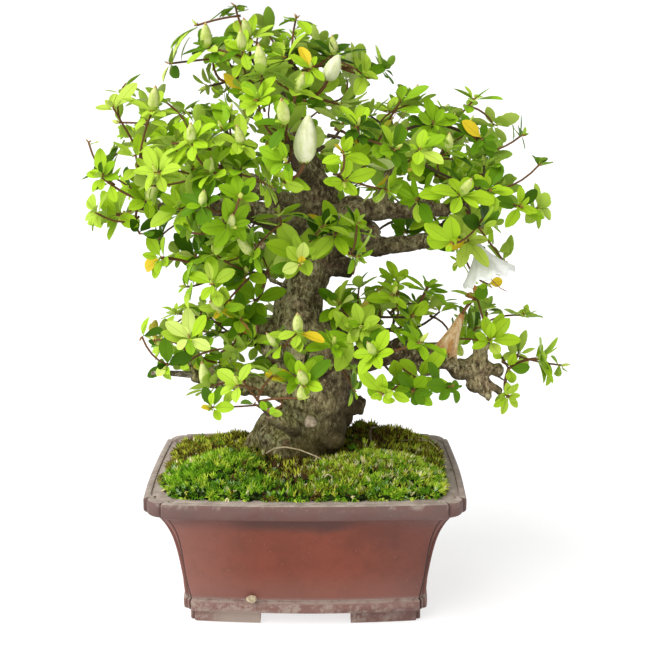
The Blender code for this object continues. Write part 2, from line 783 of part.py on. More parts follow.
def hub_surface(site, reach):
    """An octahedron that other whorls' leaves keep out of."""
    corners = [site + Vector(way) * reach
               for way in ((1, 0, 0), (0, 1, 0), (-1, 0, 0), (0, -1, 0), (0, 0, 1), (0, 0, -1))]
    faces = [(side, (side + 1) % 4, end) for side in range(4) for end in (4, 5)]
    return surface_of(corners, faces)


def crosses(surface, others):
    centre, reach, tree = surface
    for other_centre, other_reach, other_tree in others:
        if (centre - other_centre).length < reach + other_reach and tree.overlap(other_tree):
            return True
    return False


def leaf_fits(base, points, space, limbs):
    middle, side, tip = points
    for point in (tip, middle + side, middle - side, middle, (middle + tip) / 2):
        if not inside_pad(point, space):
            return False
    half_width = side.length
    quarter = (base + middle) / 2
    for point, reach in ((quarter, 0.5), (middle, 1.0), ((middle + tip) / 2, 0.6), (tip, 0.0)):
        if not clear_of_limbs(point, half_width * reach, limbs):
            return False
    return True


def widest_ring(roots, base, axis, points, thickness):
    """Where each corner of a leaf's root goes at its widest place: the ridge or a margin."""
    middle, side, tip = points
    normal = (tip - base).cross(side).normalized() * thickness / 2
    if normal.dot(axis) < 0:
        normal.negate()
    highest = max(roots, key=lambda root: root.dot(axis))
    widest = []
    for root in roots:
        if root is highest:
            widest.append(middle + normal)
        elif (root - base).dot(side) > 0:
            widest.append(middle + side - normal)
        else:
            widest.append(middle - side - normal)
    return widest


def extrude_leaf(form, face, roots, widest, tip):
    """Draws one side of a hub out to a leaf's widest place, and on to its tip."""
    grown = bmesh.ops.extrude_discrete_faces(form, faces=[face])["faces"][0]
    for vertex in grown.verts:
        nearest = min(range(3), key=lambda index: (vertex.co - roots[index]).length)
        vertex.co = widest[nearest]
    end = bmesh.ops.extrude_discrete_faces(form, faces=[grown])["faces"][0]
    bmesh.ops.pointmerge(form, verts=end.verts, merge_co=tip)


def whorl(rule, site, axis, count, blades, collection, space=None, limbs=None, others=()):
    """A pointed hub at a twig's end, with a leaf or petal drawn out of each side."""
    lengths, width, thickness, tilts = blades
    form = bmesh.new()
    bmesh.ops.create_cone(form, cap_ends=True, segments=count, radius1=HUB_RADIUS,
                          radius2=0.0, depth=HUB_HEIGHT)
    turn = axis.to_track_quat("Z", "Y").to_matrix().to_4x4()
    spin = Matrix.Rotation(rule.uniform(0, 2 * math.pi), 4, "Z")
    centre = site + axis * (HUB_HEIGHT / 2 - HUB_SINK)
    form.transform(Matrix.Translation(centre) @ turn @ spin)
    bmesh.ops.remove_doubles(form, verts=form.verts, dist=1e-7)
    form.normal_update()
    grown = []
    for face in [face for face in form.faces if face.normal.dot(axis) > -0.5]:
        roots = [vertex.co.copy() for vertex in face.verts]
        base = face.calc_center_median()
        radial = (face.normal - axis * face.normal.dot(axis)).normalized()
        size = rule.uniform(0.90, 1.08)
        for length, tilt in [(length, tilt) for length in lengths for tilt in tilts]:
            turned = math.radians(tilt)
            heading = (axis * math.cos(turned) + radial * math.sin(turned)).normalized()
            points = leaf_points(base, heading, axis, length * size, width * size)
            widest = widest_ring(roots, base, axis, points, thickness)
            surface = leaf_surface(roots, widest, points[2])
            if space and (crosses(surface, list(others) + grown)
                          or not leaf_fits(base, points, space, limbs)):
                continue
            extrude_leaf(form, face, roots, widest, points[2])
            grown.append(surface)
            break
    bmesh.ops.recalc_face_normals(form, faces=form.faces)
    return object_from_bmesh("whorl", form, collection), grown


def path_is_free(start, end, space, limbs):
    for step in range(1, 6):
        point = start.lerp(end, step / 5)
        if not inside_pad(point, space) or not clear_of_limbs(point, TWIG_RADIUS, limbs):
            return False
    return True


def grow_twigs(stem_start, stem_end, sites, space, limbs):
    """Joins each site to the nearest free place on the twigs so far, nearest sites first."""
    nodes = [(stem_start.lerp(stem_end, share), 0.0) for share in (0.7, 0.85, 1.0)]
    twigs = []
    for site in sorted(sites, key=lambda place: (place - stem_start).length):
        choices = sorted(nodes, key=lambda node: (site - node[0]).length + PATH_COST * node[1])
        for node in choices[:8]:
            start, travelled = node
            if path_is_free(start, site, space, limbs):
                length = (site - start).length
                nodes.remove(node)
                nodes += [(start.lerp(site, share), travelled + length * share)
                          for share in BRANCHING]
                twigs.append((start, site))
                break
    return twigs


def whorl_axis(site, along, own):
    """A whorl faces on along its twig, out of its pad and up to the light."""
    nearest = min((centre for centre, radius in own), key=lambda centre: (site - centre).length)
    outward = (site - nearest) / 0.012 + Vector((0, 0, 0.6))
    axis = along
    for weight in (0.5, 1.0, 1.6, 2.4, 4.0):
        axis = (along * weight + outward).normalized()
        if axis.dot(along) > 0.7:
            break
    return axis


def grow_blossom(rule, mass, twigs, collection):
    """Buds, an open flower and a withered one, each on a stalk from the nearest twig."""
    shapes = []
    for owner, kind, base, heading in BLOSSOM:
        if owner != mass:
            continue
        base = Vector(base)
        heading = Vector(heading).normalized()
        carrier = min((end for start, end in twigs), key=lambda place: (place - base).length)
        shapes.append(cone_between(carrier, base + heading * 0.002, TWIG_RADIUS,
                                   TWIG_RADIUS, TWIG_SIDES, collection))
        if kind == "flower":
            petals = ((PETAL_SIZE[0],), PETAL_SIZE[1], LEAF_THICKNESS, (PETAL_TILT,))
            shapes.append(whorl(rule, base, heading, PETAL_COUNT, petals, collection)[0])
        else:
            length, width = BUD_SIZE if kind == "bud" else WITHERED_SIZE
            shapes.append(bud(base, heading, length, width, collection))
    return shapes


def bud(base, heading, length, width, collection):
    """A pointed bud of eight faces, widest below its middle."""
    form = bmesh.new()
    bmesh.ops.create_uvsphere(form, u_segments=4, v_segments=2, radius=0.5)
    for vertex in form.verts:
        if abs(vertex.co.z) < 0.25:
            vertex.co.z -= 0.08
        vertex.co = (vertex.co.x * width, vertex.co.y * width, (vertex.co.z + 0.5) * length)
    turn = heading.to_track_quat("Z", "Y").to_matrix().to_4x4()
    form.transform(Matrix.Translation(base) @ turn)
    return object_from_bmesh("bud", form, collection)


def trunk_stem(place, inner, trunk):
    """Where a stem leaves the trunk's surface, a gap clear of it, on its way to the pad."""
    place = Vector(place)
    heading = (Vector(inner) - place).normalized()
    across = heading.orthogonal().normalized() * STEM_RADIUS
    corners = [Matrix.Rotation(math.radians(turn), 3, heading) @ across
               for turn in range(0, 360, 45)]
    graph = bpy.context.evaluated_depsgraph_get()
    surface = BVHTree.FromObject(trunk, graph)
    start = place
    while any(not outside(surface, start + corner, GAP) for corner in corners):
        start = start + heading * GAP / 3
    return start, heading


def outside(surface, point, gap):
    nearest, normal, index, distance = surface.find_nearest(point)
    return distance >= gap and (point - nearest).dot(normal) > 0


def build_mass(index, row, lobes, limbs, routes, trunk, collection):
    mass, carrier, pads = row
    rule = random.Random(RANDOM_SEED * 100 + index)
    space = mass_space(mass, lobes)
    if isinstance(carrier, str):
        route = routes[carrier]
        heading = (route[-1][0] - route[-2][0]).normalized()
        stem_start = route[-1][0] + heading * GAP
    else:
        stem_start, heading = trunk_stem(carrier, pads[0][0], trunk)
    middle = min((centre for centre, radius in space[0]),
                 key=lambda centre: (centre - stem_start).length)
    reach = (middle - stem_start).length
    knee = stem_start + heading * min(0.004, reach * 0.3)
    stem_end = knee + (middle - knee) * 0.55
    sites = place_sites(rule, pads, space, limbs)
    twigs = grow_twigs(stem_start, stem_end, sites, space, limbs)
    shapes = [
        cone_between(stem_start, knee, STEM_RADIUS, STEM_RADIUS, 6, collection),
        cone_between(knee.lerp(stem_start, 0.4), stem_end, STEM_RADIUS * 0.95,
                     TWIG_RADIUS * 1.2, TWIG_SIDES, collection)]
    blades = ([LEAF_LENGTH * shrink for shrink in LEAF_SHRINK], LEAF_WIDTH, LEAF_THICKNESS,
              LEAF_TILTS)
    surfaces = [twig_surface(start, end, TWIG_RADIUS) for start, end in twigs]
    surfaces.append(twig_surface(stem_start, stem_end, STEM_RADIUS))
    for owner, kind, base, heading in BLOSSOM:
        if owner == mass:
            centre = Vector(base) + Vector(heading).normalized() * BLOSSOM_REACH
            surfaces.append(hub_surface(centre, BLOSSOM_REACH))
    hubs = [hub_surface(end, HUB_REACH) for start, end in twigs]
    for number, (start, end) in enumerate(twigs):
        along = (end - start).normalized()
        shapes.append(cone_between(start - along * TWIG_SINK, end, TWIG_RADIUS,
                                   TWIG_TIP_RADIUS, TWIG_SIDES, collection))
        axis = whorl_axis(end, along, space[0])
        others = surfaces + hubs[:number] + hubs[number + 1:]
        shape, grown = whorl(rule, end, axis, rule.choice(LEAVES_PER_WHORL), blades,
                             collection, space, limbs, others)
        shapes.append(shape)
        surfaces += grown
    shapes += grow_blossom(rule, mass, twigs, collection)
    return fuse("foliage_" + mass, shapes, collection, "MANIFOLD")


# Assembly

def shift_to_origin(collection):
    """The sideways move that brings the middle of everything's box above the origin."""
    graph = bpy.context.evaluated_depsgraph_get()
    lows = [math.inf, math.inf]
    highs = [-math.inf, -math.inf]
    for piece in collection.objects:
        mesh = piece.evaluated_get(graph).to_mesh()
        for vertex in mesh.vertices:
            for axis in range(2):
                lows[axis] = min(lows[axis], vertex.co[axis])
                highs[axis] = max(highs[axis], vertex.co[axis])
    middle = [(low + high) / 2 for low, high in zip(lows, highs)]
    return Vector((-middle[0], -middle[1], 0.0))


def main():
    clear_scene()
    materials = {name: new_material(name, *look) for name, look in COLOURS.items()}
    plant = new_collection("azalea_bonsai")
    cutters = new_collection("cutters")

    pot = build_pot(plant, cutters)
    soil = build_soil(plant)
    trunk = build_trunk("trunk", plant, cutters)
    trunk_clearance = build_trunk("trunk_clearance", cutters, cutters, GAP)
    trunk_clearance.hide_render = True
    trunk_clearance.display_type = "WIRE"
    moss = build_moss(plant, trunk_clearance)
    boughs, routes = build_boughs(plant, cutters, trunk, trunk_clearance)

    for piece, look in ((pot, "clay"), (soil, "soil"), (moss, "moss"), (trunk, "bark")):
        piece.data.materials.clear()
        piece.data.materials.append(materials[look])
    for bough in boughs.values():
        bough.data.materials.clear()
        bough.data.materials.append(materials["bark"])

    limbs = limb_segments(trunk_routes() + list(routes.values()))
    routes["trunk_tip"] = smooth_stations(TRUNK_STATIONS, TRUNK_STEPS)
    lobes = pad_lobes()
    for index, row in enumerate(MASSES):
        mass = build_mass(index, row, lobes, limbs, routes, trunk, plant)
        mass.data.materials.clear()
        mass.data.materials.append(materials["foliage"])

    shift = shift_to_origin(plant)
    for piece in list(plant.objects) + list(cutters.objects):
        piece.matrix_world = Matrix.Translation(shift) @ piece.matrix_world


main()
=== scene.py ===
import json
import math
import random

import bmesh
import bpy
import numpy as np
from mathutils import Matrix, Vector, noise

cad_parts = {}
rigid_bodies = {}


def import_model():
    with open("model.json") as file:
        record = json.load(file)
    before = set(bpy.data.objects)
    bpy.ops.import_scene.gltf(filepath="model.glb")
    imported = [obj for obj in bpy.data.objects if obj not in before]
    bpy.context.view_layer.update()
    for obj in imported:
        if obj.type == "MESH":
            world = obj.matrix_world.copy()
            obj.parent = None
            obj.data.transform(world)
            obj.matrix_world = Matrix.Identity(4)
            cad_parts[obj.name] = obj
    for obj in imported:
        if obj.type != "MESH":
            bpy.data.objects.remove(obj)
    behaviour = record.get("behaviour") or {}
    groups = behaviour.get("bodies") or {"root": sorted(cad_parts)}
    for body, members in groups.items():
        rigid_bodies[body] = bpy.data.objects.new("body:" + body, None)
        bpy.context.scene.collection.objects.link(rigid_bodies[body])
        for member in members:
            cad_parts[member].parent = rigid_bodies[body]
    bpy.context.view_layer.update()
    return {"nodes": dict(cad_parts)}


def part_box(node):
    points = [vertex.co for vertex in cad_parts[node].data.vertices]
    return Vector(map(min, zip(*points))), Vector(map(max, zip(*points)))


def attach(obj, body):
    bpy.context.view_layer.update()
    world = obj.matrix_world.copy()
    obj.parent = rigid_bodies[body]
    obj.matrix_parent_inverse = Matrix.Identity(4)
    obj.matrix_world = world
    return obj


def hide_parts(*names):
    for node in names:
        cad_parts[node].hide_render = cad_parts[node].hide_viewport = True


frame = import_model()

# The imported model's box, and where the middle of the pot stands in it
POT_LOW, POT_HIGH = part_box("pot")
SHIFT = Vector(((POT_LOW.x + POT_HIGH.x) / 2, (POT_LOW.y + POT_HIGH.y) / 2, POT_LOW.z))


def metres(rows):
    """A table in metres, from one with its lengths in tenths of a millimetre."""
    if isinstance(rows, tuple):
        return tuple(metres(row) for row in rows)
    return rows if isinstance(rows, str) else rows / 10000


# Pot: the rim, and how far the walls stand in from it at each height
POT_HEIGHT = 0.0886
RIM_HALF_WIDTH = 0.1003
RIM_HALF_DEPTH = 0.0745
LONG_SIDE_BOW = 0.0045
SHORT_SIDE_BOW = 0.0015
FACE_HALF_WIDTH = 0.0880
FACE_HALF_DEPTH = 0.0622
NOTCH = 0.0022
GROOVE = 0.0009
FLOOR_UNDERSIDE = 0.0088
FLOOR_TOP = 0.0165
FOOT_FACE_IN = 0.0262
FOOT_THICKNESS = 0.0110
FOOT_BEVEL = 0.0006
FOOT_GAP_HEIGHT = 0.0082
FOOT_GAP_WIDTH = 0.0580
FOOT_GAP_DEPTH = 0.0400
DRAIN_RADIUS = 0.0080
DRAIN_SPACING = 0.0500
DRAIN_SIDES = 40
PANEL_EDGE = 0.0009
GAP_EDGE = 0.0010
GROOVE_SHADE_WIDTH = 0.0013
CLAY_SWAY = 0.00028
CLAY_CREASE = 38
FACE_STEPS = 16
CORNER_STEPS = 8
# Rows from foot to lip: height, how far the faces stand in, how far their ends do
FOOT_ROWS = metres((
    (0, 272, 175), (3, 265, 168), (10, 262, 165), (78, 262, 165), (84, 258, 163), (85, 232, 152),
    (89, 226, 149), (96, 223, 147), (120, 221, 146), (148, 221, 146), (156, 224, 148),
    (160, 232, 154), (165, 236, 157), (171, 231, 154)))
BODY_ROWS = metres((
    (171, 231, 154), (250, 225, 139), (320, 220, 126), (480, 193, 108), (600, 162, 90),
    (690, 122, 66), (755, 76, 42)))
BODY_STEPS = 5
LIP_ROWS = metres((
    (755, 76, 42), (772, 50, 28), (785, 20, 13), (790, 10, 8), (797, 4, 4), (806, 0, 0),
    (868, 0, 0), (877, 2, 2), (883, 6, 6), (886, 14, 14), (886, 34, 34), (884, 41, 41),
    (877, 46, 46), (875, 53, 53), (878, 62, 62)))
# The mouth from the lip down to the floor: height, how far its wall stands in
MOUTH_ROWS = metres((
    (878, 140), (876, 149), (868, 155), (810, 165), (680, 245), (165, 320)))
MOUTH_CORNER = 0.0140
MOUTH_INSET = 0.0150

# Soil and moss
SOIL_TOP = 0.0820
MOSS_SEAT = 0.0003
MOSS_INSET = 0.0168
MOSS_BEVEL = 0.0008
MOSS_WALL_TOP = 0.0874
MOSS_LEDGE = 0.0882
MOSS_EDGE = 0.0900
MOSS_OVERHANG = 0.0022
MOSS_BACK_DROP = 0.0016
MOSS_RING_COUNT = 56
MOSS_FACE_STEPS = 34
# Mounds: middle along x and y, spread along x and y, rise
MOUNDS = metres((
    (-550, -360, 230, 170, 170), (600, -360, 250, 170, 150), (140, -460, 200, 140, 85),
    (-620, 200, 220, 200, 34), (580, 380, 260, 220, 90), (300, 60, 140, 260, 80),
    (-80, 400, 260, 160, 10), (-500, 340, 80, 70, 70), (-700, 120, 60, 80, 40),
    (-360, 120, 80, 70, 45), (660, 300, 80, 70, 40), (400, 400, 70, 60, 45),
    (-310, -120, 130, 120, 58), (-80, -300, 140, 90, 46), (-300, 100, 100, 120, 40)))

# Trunk: centre and radius at each height, from the flat cut to the tip
TRUNK_STATIONS = metres((
    ((-40, 20, 830), 300), ((-40, 20, 980), 276), ((10, 10, 1110), 246), ((60, 0, 1270), 226),
    ((80, 0, 1520), 238), ((20, 0, 1710), 230), ((-50, 0, 1900), 164), ((-20, 0, 2080), 146),
    ((70, 0, 2310), 122), ((90, 0, 2590), 132), ((20, 10, 2860), 86), ((-50, 0, 3120), 56),
    ((-90, -10, 3390), 36)))
# Surface roots: heading in degrees, reach from the trunk's middle, radius at the trunk
ROOTS = (
    (186, 0.048, 0.0135),
    (238, 0.040, 0.0120),
    (292, 0.037, 0.0105),
    (350, 0.036, 0.0100),
    (62, 0.040, 0.0120),
    (128, 0.040, 0.0120),
)
ROOT_CROWN = 0.120
ROOT_FOOT = 0.084
# Cut stubs on the trunk: from, to, radius at the trunk, radius at the cut
STUBS = metres((
    ((60, 0, 2270), (310, -40, 2230), 95, 58), ((100, 0, 1340), (380, -60, 1310), 95, 50),
    ((60, 0, 1260), (30, -270, 1270), 65, 48), ((-40, 0, 1840), (-310, -70, 1850), 85, 50),
    ((1080, -110, 1530), (1200, -140, 1390), 40, 22)))
# The stubs that show a sawn face, and its finish: 0 weathered red, 1 pale
SAWN_STUBS = {0: 0, 2: 1, 3: 0}
# A sawn face from its edge in: share of the cut's radius, how far it stands out
CUT_ROWS = ((1.0, -0.0015), (0.92, 0.0006), (0.55, 0.0009), (0.0, 0.0012))
# Burrs and swellings on trunk and boughs: place and radius
BURRS = metres((
    ((-180, -160, 1720), 85), ((260, -100, 1580), 80), ((120, -160, 2400), 70),
    ((-60, -120, 2550), 75), ((160, 100, 2620), 75), ((-100, 120, 2460), 80),
    ((180, -200, 1120), 70), ((-240, -80, 1120), 80), ((220, 160, 1180), 90),
    ((-140, 200, 1400), 80), ((220, 140, 1760), 65), ((-120, 120, 1960), 60),
    ((1000, -110, 1580), 78), ((1100, -100, 1610), 74), ((1170, -90, 1580), 60),
    ((1240, -90, 1570), 46), ((1120, -100, 1700), 44), ((1170, -90, 1730), 36),
    ((1090, -130, 1480), 55), ((1170, -110, 1470), 44), ((600, -140, 1720), 80),
    ((780, -100, 1620), 85), ((-400, -150, 1500), 88), ((-580, -160, 1550), 70),
    ((-200, -100, 1500), 95), ((400, -80, 2460), 85), ((300, -40, 2620), 90),
    ((-200, -80, 2580), 95), ((-500, -160, 2660), 62), ((660, -120, 2640), 62)))
# Boughs: name, root, halfway point, tip, root radius, tip radius
BOUGHS = metres((
    ("bough_left", (30, -20, 2500), (-420, -150, 2610), (-870, -250, 2660), 105, 38),
    ("bough_front_left", (40, -30, 2620), (-150, -260, 2700), (-360, -460, 2750), 62, 32),
    ("bough_right", (100, -30, 2540), (500, -140, 2620), (910, -140, 2610), 95, 45),
    ("bough_right_top", (440, -120, 2610), (510, -130, 2780), (550, -110, 2940), 50, 34),
    ("bough_right_low", (80, 30, 2420), (480, 150, 2350), (830, 280, 2370), 90, 44),
    ("bough_back_right", (70, 40, 2660), (240, 260, 2770), (410, 460, 2870), 64, 34),
    ("bough_back_left", (30, 30, 2580), (-220, 240, 2680), (-460, 460, 2790), 70, 34),
    ("bough_back", (40, 30, 2740), (0, 280, 2790), (-60, 520, 2850), 56, 32),
    ("bough_left_back", (30, 30, 2280), (-150, 210, 2300), (-340, 400, 2310), 62, 36),
    ("bough_front", (40, -20, 2780), (-10, -270, 2870), (-60, -500, 2930), 52, 32),
    ("bough_apex_back", (-20, 10, 3020), (-90, 200, 3160), (-150, 340, 3310), 48, 32),
    ("bough_low_left", (40, -40, 1380), (-360, -120, 1480), (-730, -180, 1560), 105, 42),
    ("bough_low_left_front", (30, -40, 1140), (-120, -310, 1250), (-220, -500, 1390), 70, 36),
    ("bough_low_left_back", (40, 30, 1540), (-120, 240, 1560), (-290, 420, 1580), 70, 38),
    ("bough_low_right", (100, -20, 1540), (700, -130, 1670), (1270, -90, 1420), 125, 26),
    ("bough_low_right_tip", (1050, -120, 1570), (1120, -110, 1620), (1170, -90, 1690), 46, 32),
    ("bough_low_right_top", (410, -80, 1630), (450, -130, 1710), (460, -180, 1780), 56, 38),
    ("bough_low_right_back", (100, 30, 1500), (240, 220, 1550), (360, 380, 1600), 70, 40)))
BOUGH_SEGMENTS = 5
BOUGH_KINK = 0.045
TRUNK_SIDES = 28
ROOT_SIDES = 18
LIMB_SIDES = 14
STEM_SIDES = 8
BARK_GRAIN = 0.00105

# Masses of foliage: name, the bough that carries it or a place on the trunk, and its
# pads, each the two ends of a middle line and a radius
MASSES = metres((
    ("apex", "trunk_tip", (((-40, 0, 3660), (-320, -50, 3710), 245), ((-320, -180, 3530),
     (-660, -100, 3560), 240), ((40, -220, 3440), (300, -160, 3460), 245))),
    ("apex_back", "bough_apex_back", (((-400, 460, 3500), (140, 500, 3430), 290),)),
    ("left_outer", "bough_left", (((-840, -220, 3150), (-1120, -60, 3210), 240),
     ((-1140, -260, 2960), (-1110, -180, 2620), 265))),
    ("left_inner", "bough_front_left", (((-490, -680, 3080), (-530, -700, 2700), 255),
     ((-360, -780, 2900), (-760, -600, 2900), 245))),
    ("centre", "bough_front", (((-160, -620, 3290), (-40, -800, 3050), 255), ((180, -740, 3060),
     (440, -660, 2980), 250))),
    ("right_top", "bough_right_top", (((560, -120, 3140), (720, -50, 3220), 250),
     ((900, 40, 3100), (1180, 0, 3120), 245))),
    ("right_tip", "bough_right", (((720, -600, 2930), (900, -580, 2640), 250),
     ((1080, -180, 2710), (1400, -50, 2730), 240), ((1120, -240, 2370),
     (1140, -240, 2300), 230))),
    ("front", (80, 0, 2400), (((-160, -540, 2460), (190, -580, 2500), 225),)),
    ("left_mid", (-20, 0, 2080), (((-360, -320, 2290), (-540, -360, 2210), 245),)),
    ("left_low", "bough_low_left", (((-560, -280, 1870), (-880, -180, 1760), 245),)),
    ("left_front", "bough_low_left_front", (((-640, -460, 1530), (-200, -680, 1560), 225),)),
    ("front_low", (70, 0, 1540), (((140, -560, 1630), (-40, -620, 1860), 225),)),
    ("right_low", "bough_low_right_top", (((380, -320, 1990), (640, -60, 2050), 245),
     ((520, -600, 1740), (800, -500, 1690), 245))),
    ("right_low_tip", "bough_low_right_tip", (((1080, -120, 1900), (1500, -40, 1660), 240),)),
    ("back_left_upper", "bough_back_left", (((-600, 700, 3000), (-1060, 440, 2900), 310),)),
    ("back_centre", "bough_back", (((-80, 860, 3140), (-80, 860, 2820), 290),)),
    ("back_right_upper", "bough_back_right", (((480, 740, 3040), (1040, 480, 2920), 300),)),
    ("back_left", "bough_left_back", (((-160, 780, 2280), (-780, 520, 2320), 280),)),
    ("back_right", "bough_right_low", (((440, 700, 2540), (1060, 440, 2500), 265),)),
    ("back_low_left", "bough_low_left_back", (((-140, 780, 1580), (-820, 500, 1640), 275),)),
    ("back_low_right", "bough_low_right_back", (((440, 700, 1720), (980, 440, 1700), 265),))))
LOBE_SPACING = 0.012
PAD_MARGIN = 0.0004
LIMB_MARGIN = 0.0006

# Twigs: how they spread through a pad and how thick they are
TWIG_TIP_RADIUS = 0.00066
OLD_TWIG_RADIUS = 0.00128
STEM_LOAD = 7
TWIG_SIDES = 6
TWIG_BENDS = 5
PATH_COST = 0.35
BRANCHING = (0.30, 0.52, 0.74)
SITE_SPACE = 1.24e-5
# How full of sprays each mass is, where that isn't 1
FULLNESS = {"apex": 0.94, "left_outer": 0.88, "right_top": 0.90, "right_tip": 0.86,
            "left_mid": 0.90, "left_low": 0.80, "left_front": 0.80, "front_low": 0.80,
            "right_low": 0.86, "right_low_tip": 0.72, "front": 1.05, "centre": 1.08}
SITE_INSET = 0.0045
SITE_REACH = 0.003
SITE_TRIALS = 900

# Leaves: size, outline as share of length and of half width, and how they stand
LEAF_LENGTH = 0.0196
LEAF_WIDTH = 0.0092
LEAF_THICKNESS = 0.00034
RIB_HALF_WIDTH = 0.00030
LEAF_OUTLINE = (
    (0.00, 0.070), (0.10, 0.100), (0.22, 0.480), (0.38, 0.860), (0.57, 1.000), (0.76, 0.850),
    (0.92, 0.480), (1.00, 0.050))
LEAF_CREASE = 70
LEAF_TILTS = (0, 16, -16, 30)
LEAF_SHRINK = (1.0, 0.86, 0.72, 0.60)
LEAF_OVERHANG = 0.0036
OUTER_LEAVES = (5, 6, 6, 5, 7)
INNER_LEAVES = (2, 2, 3, 3)
LOWER_LEAVES = (1, 2, 2, 3)
CROWN_TOP = 0.3872
# Places that sprays leave open as the photo does, as seen from the front on the plane
# y = FRONT_PLANE: the depth to which some go back, and x, z and radius of each
FRONT_PLANE = -0.03
OPEN_PLACES = metres((
    (-640, ((40, 3080, 150),)),
    (-300, ((200, 3500, 95),)),
    (-200, ((1080, 2340, 160), (930, 1870, 110))),
    (0, ((-40, 2060, 170), (60, 2240, 100), (-300, 1500, 80), (-120, 1440, 80), (80, 1270, 150),
     (200, 1520, 90), (1100, 1620, 120), (900, 1600, 60), (-1040, 1720, 110), (521, 3268, 56),
     (1178, 3156, 62), (1287, 2880, 62), (633, 1342, 56), (369, 1355, 74))),
    (2000, ((-1180, 2360, 165), (-820, 1300, 120), (-1395, 3118, 105), (-1429, 2917, 81),
     (-1385, 2727, 50), (-1427, 2631, 56), (-1025, 2419, 56), (-1261, 3342, 56),
     (-1133, 3422, 56), (-905, 3526, 81), (-864, 3660, 43), (-619, 3781, 43), (-79, 3853, 68),
     (144, 3817, 74), (293, 3696, 50), (457, 3366, 56), (1374, 3305, 81), (1434, 3043, 81),
     (1491, 2854, 62), (1634, 2753, 56), (1331, 2263, 81), (1258, 2093, 74), (828, 1881, 93),
     (-1218, 3156, 81), (-1053, 3193, 43), (-1325, 2980, 56), (7, 3829, 62), (82, 3877, 56),
     (1526, 1841, 105), (1592, 1464, 74), (1280, 1342, 31), (-1108, 1814, 74), (-1034, 1667, 37),
     (-1025, 1519, 43), (964, 1307, 62), (1598, 2721, 80), (1701, 1701, 85), (1382, 2873, 60))),
    (200, ((700, 2180, 120), (500, 2300, 80), (-345, 1225, 136), (-669, 1260, 93),
     (-505, 1177, 74))),
    (300, ((-734, 3342, 81),))))
# Whorls that stand out in the photo: place, facing, leaf size, leaf colour, colour of one leaf
FEATURE_WHORLS = (
    ((-0.0020, -0.0560, 0.2390), (0.05, -0.85, 0.40), 1.30, "bright", "fresh"),
    ((0.0190, -0.0500, 0.2520), (0.25, -0.75, 0.45), 1.12, "fresh", "bright"),
    ((0.0990, -0.0460, 0.2470), (0.10, -0.92, 0.25), 0.98, "lime", "yellow"),
    ((0.0715, -0.0440, 0.1610), (0.10, -0.80, 0.30), 1.15, "fresh", "mid"),
    ((-0.0050, -0.0540, 0.1640), (-0.10, -0.85, 0.30), 1.05, "mid", "yellow"),
    ((0.0300, -0.0440, 0.1880), (0.15, -0.80, 0.40), 1.18, "bright", "mid"),
    ((-0.0760, -0.0420, 0.2660), (-0.35, -0.70, 0.40), 1.15, "fresh", "bright"),
    ((-0.0323, -0.0120, 0.2033), (-0.20, -0.75, 0.40), 1.05, "mid", "fresh"),
    ((-0.0389, -0.0200, 0.1934), (-0.30, -0.75, 0.30), 0.90, "deep", "yellow"),
    ((0.0203, -0.0240, 0.2014), (0.10, -0.80, 0.40), 0.95, "mid", "deep"),
    ((0.0584, -0.0200, 0.2165), (0.20, -0.35, 0.80), 0.85, "fresh", "mid"),
    ((0.0772, -0.0180, 0.2126), (0.30, -0.25, 0.80), 0.85, "mid", "fresh"),
    ((0.1311, -0.0140, 0.1403), (0.30, -0.80, -0.20), 0.60, "bright", "fresh"),
    ((-0.1173, -0.0180, 0.2593), (-0.70, -0.55, 0.10), 1.15, "fresh", "bright"),
    ((-0.0899, -0.0240, 0.2328), (-0.50, -0.70, 0.10), 0.85, "fresh", "yellow"),
    ((0.1520, -0.0080, 0.1640), (0.90, -0.30, 0.00), 1.05, "fresh", "mid"),
)
RANDOM_SEED = 41
CROWN_MIDDLE = (0.004, 0.004, 0.262)
LOW_SPRAYS = 0.215
MAIN_COLOUR_SHARE = 0.72

# Leaf colours: name, upper side, underside, how often on sunlit and on shaded sprays
LEAF_COLOURS = (
    ("lime", (0.455, 0.605, 0.070), (0.485, 0.615, 0.122), 0.15, 0.04),
    ("bright", (0.405, 0.590, 0.042), (0.450, 0.600, 0.100), 0.34, 0.16),
    ("fresh", (0.362, 0.572, 0.020), (0.425, 0.603, 0.075), 0.33, 0.28),
    ("mid", (0.244, 0.444, 0.012), (0.350, 0.522, 0.055), 0.13, 0.25),
    ("deep", (0.098, 0.220, 0.007), (0.235, 0.385, 0.042), 0.04, 0.19),
    ("dark", (0.044, 0.110, 0.004), (0.140, 0.260, 0.030), 0.005, 0.11),
    ("young", (0.570, 0.700, 0.150), (0.620, 0.720, 0.270), 0.025, 0.008),
    ("yellow", (0.720, 0.540, 0.022), (0.720, 0.580, 0.100), 0.028, 0.030),
)

